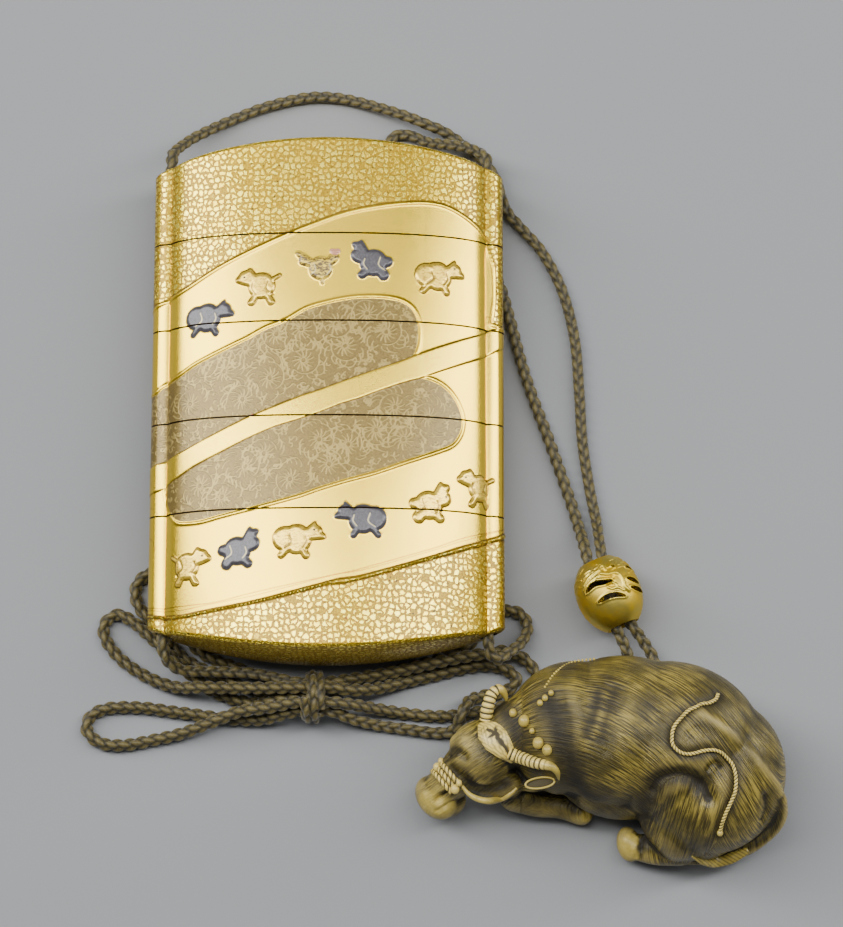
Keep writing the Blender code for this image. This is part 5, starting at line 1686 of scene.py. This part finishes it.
class INRO_OT_cord(bpy.types.Operator):
    """Lays the braided cord and its binding"""

    bl_idname = "inro.cord"
    bl_label = "Braided cord"

    def execute(self, context):
        silk = silk_material(context.scene.inro_colours)
        turns = []
        for k in range(BINDING_POINTS):
            angle = radians(BINDING_START + k * BINDING_STEP)
            x = BINDING_MIDDLE - BINDING_WIDTH / 2 + BINDING_WIDTH * k / (BINDING_POINTS - 1)
            turns.append((x, BINDING_AXIS[0] + BINDING_RADII[0] * cos(angle),
                          BINDING_AXIS[1] + BINDING_RADII[1] * sin(angle)))
        mesh, _ = braided("braid_binding", turns)
        binding = piece("braid_binding", mesh, silk)
        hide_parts("cord_binding")
        for name, names in RUNS.items():
            route = [point for stretch in names for point in ROUTES[stretch]]
            if abs(route[0][0] - BINDING_MIDDLE) < BINDING_REACH:
                route.insert(0, (BINDING_MIDDLE, *route[0][1:]))
            if abs(route[-1][0] - BINDING_MIDDLE) < BINDING_REACH:
                route.append((BINDING_MIDDLE, *route[-1][1:]))
            mesh, path = braided(name, route)
            obj = piece(name, mesh, silk)
            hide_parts(*names)
        return {"FINISHED"}


class INRO_OT_stage(bpy.types.Operator):
    """Sets the floor, the lights and the camera"""

    bl_idname = "inro.stage"
    bl_label = "Stage"

    def execute(self, context):
        bm = bmesh.new()
        bmesh.ops.create_grid(bm, x_segments=1, y_segments=1, size=3.0)
        mesh = baked(bm, "floor")
        floor = bpy.data.objects.new("floor", mesh)
        context.scene.collection.objects.link(floor)
        material, _, shader = new_material("pale_floor")
        shader.inputs["Base Color"].default_value = (0.25, 0.255, 0.26, 1)
        shader.inputs["Roughness"].default_value = 0.9
        mesh.materials.append(material)
        world = bpy.data.worlds.new("studio")
        world.use_nodes = True
        world.node_tree.nodes["Background"].inputs[0].default_value = (0.9, 0.93, 1.0, 1)
        world.node_tree.nodes["Background"].inputs[1].default_value = 0.15
        context.scene.world = world
        for name, place, aim, size, power in LIGHTS:
            lamp = bpy.data.lights.new(name, "AREA")
            lamp.shape = "RECTANGLE"
            lamp.size, lamp.size_y = size
            lamp.energy = power
            light = bpy.data.objects.new(name, lamp)
            light.location = place
            light.rotation_euler = (Vector(aim) - Vector(place)).to_track_quat("-Z", "Y").to_euler()
            context.scene.collection.objects.link(light)
        lens = bpy.data.cameras.new("camera")
        lens.lens = VIEW_LENS
        lens.sensor_width = SENSOR_WIDTH
        lens.clip_start = 0.01
        camera = bpy.data.objects.new("camera", lens)
        back = Vector((0, -cos(VIEW_ELEVATION), sin(VIEW_ELEVATION)))
        camera.location = VIEW_TARGET + back * VIEW_DISTANCE
        camera.rotation_euler = back.to_track_quat("Z", "Y").to_euler()
        context.scene.collection.objects.link(camera)
        context.scene.camera = camera
        return {"FINISHED"}


LIGHTS = (
    ("left_softbox", (-0.42, 0.15, 0.58), (0.0, 0.0, 0.0), (0.21, 1.1), 8.6),
    ("right_softbox", (0.46, 0.13, 0.54), (0.0, 0.0, 0.0), (0.13, 1.1), 6.0),
    ("top_fill", (0.0, 0.30, 0.85), (0.0, 0.0, 0.0), (0.40, 0.9), 1.1),
)


class INRO_PT_panel(bpy.types.Panel):
    """Lists the settings and the pieces"""

    bl_label = "Inro"
    bl_idname = "INRO_PT_panel"
    bl_space_type = "VIEW_3D"
    bl_region_type = "UI"
    bl_category = "Inro"

    def draw(self, context):
        for group in (context.scene.inro_sizes, context.scene.inro_colours):
            for name in group.bl_rna.properties.keys():
                if name not in ("rna_type", "name"):
                    self.layout.prop(group, name)
        for operator in OPERATORS:
            self.layout.operator(operator.bl_idname)


OPERATORS = (INRO_OT_case, INRO_OT_cord, INRO_OT_bead, INRO_OT_ox, INRO_OT_stage)
CLASSES = (InroColours, InroSizes, *OPERATORS, INRO_PT_panel)


def register():
    for item in CLASSES:
        bpy.utils.register_class(item)
    bpy.types.Scene.inro_colours = PointerProperty(type=InroColours)
    bpy.types.Scene.inro_sizes = PointerProperty(type=InroSizes)


def unregister():
    del bpy.types.Scene.inro_sizes
    del bpy.types.Scene.inro_colours
    for item in reversed(CLASSES):
        bpy.utils.unregister_class(item)


def main():
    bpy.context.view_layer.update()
    register()
    bpy.ops.inro.case()
    bpy.ops.inro.cord()
    bpy.ops.inro.bead()
    bpy.ops.inro.ox()
    bpy.ops.inro.stage()


if __name__ == "__main__":
    main()
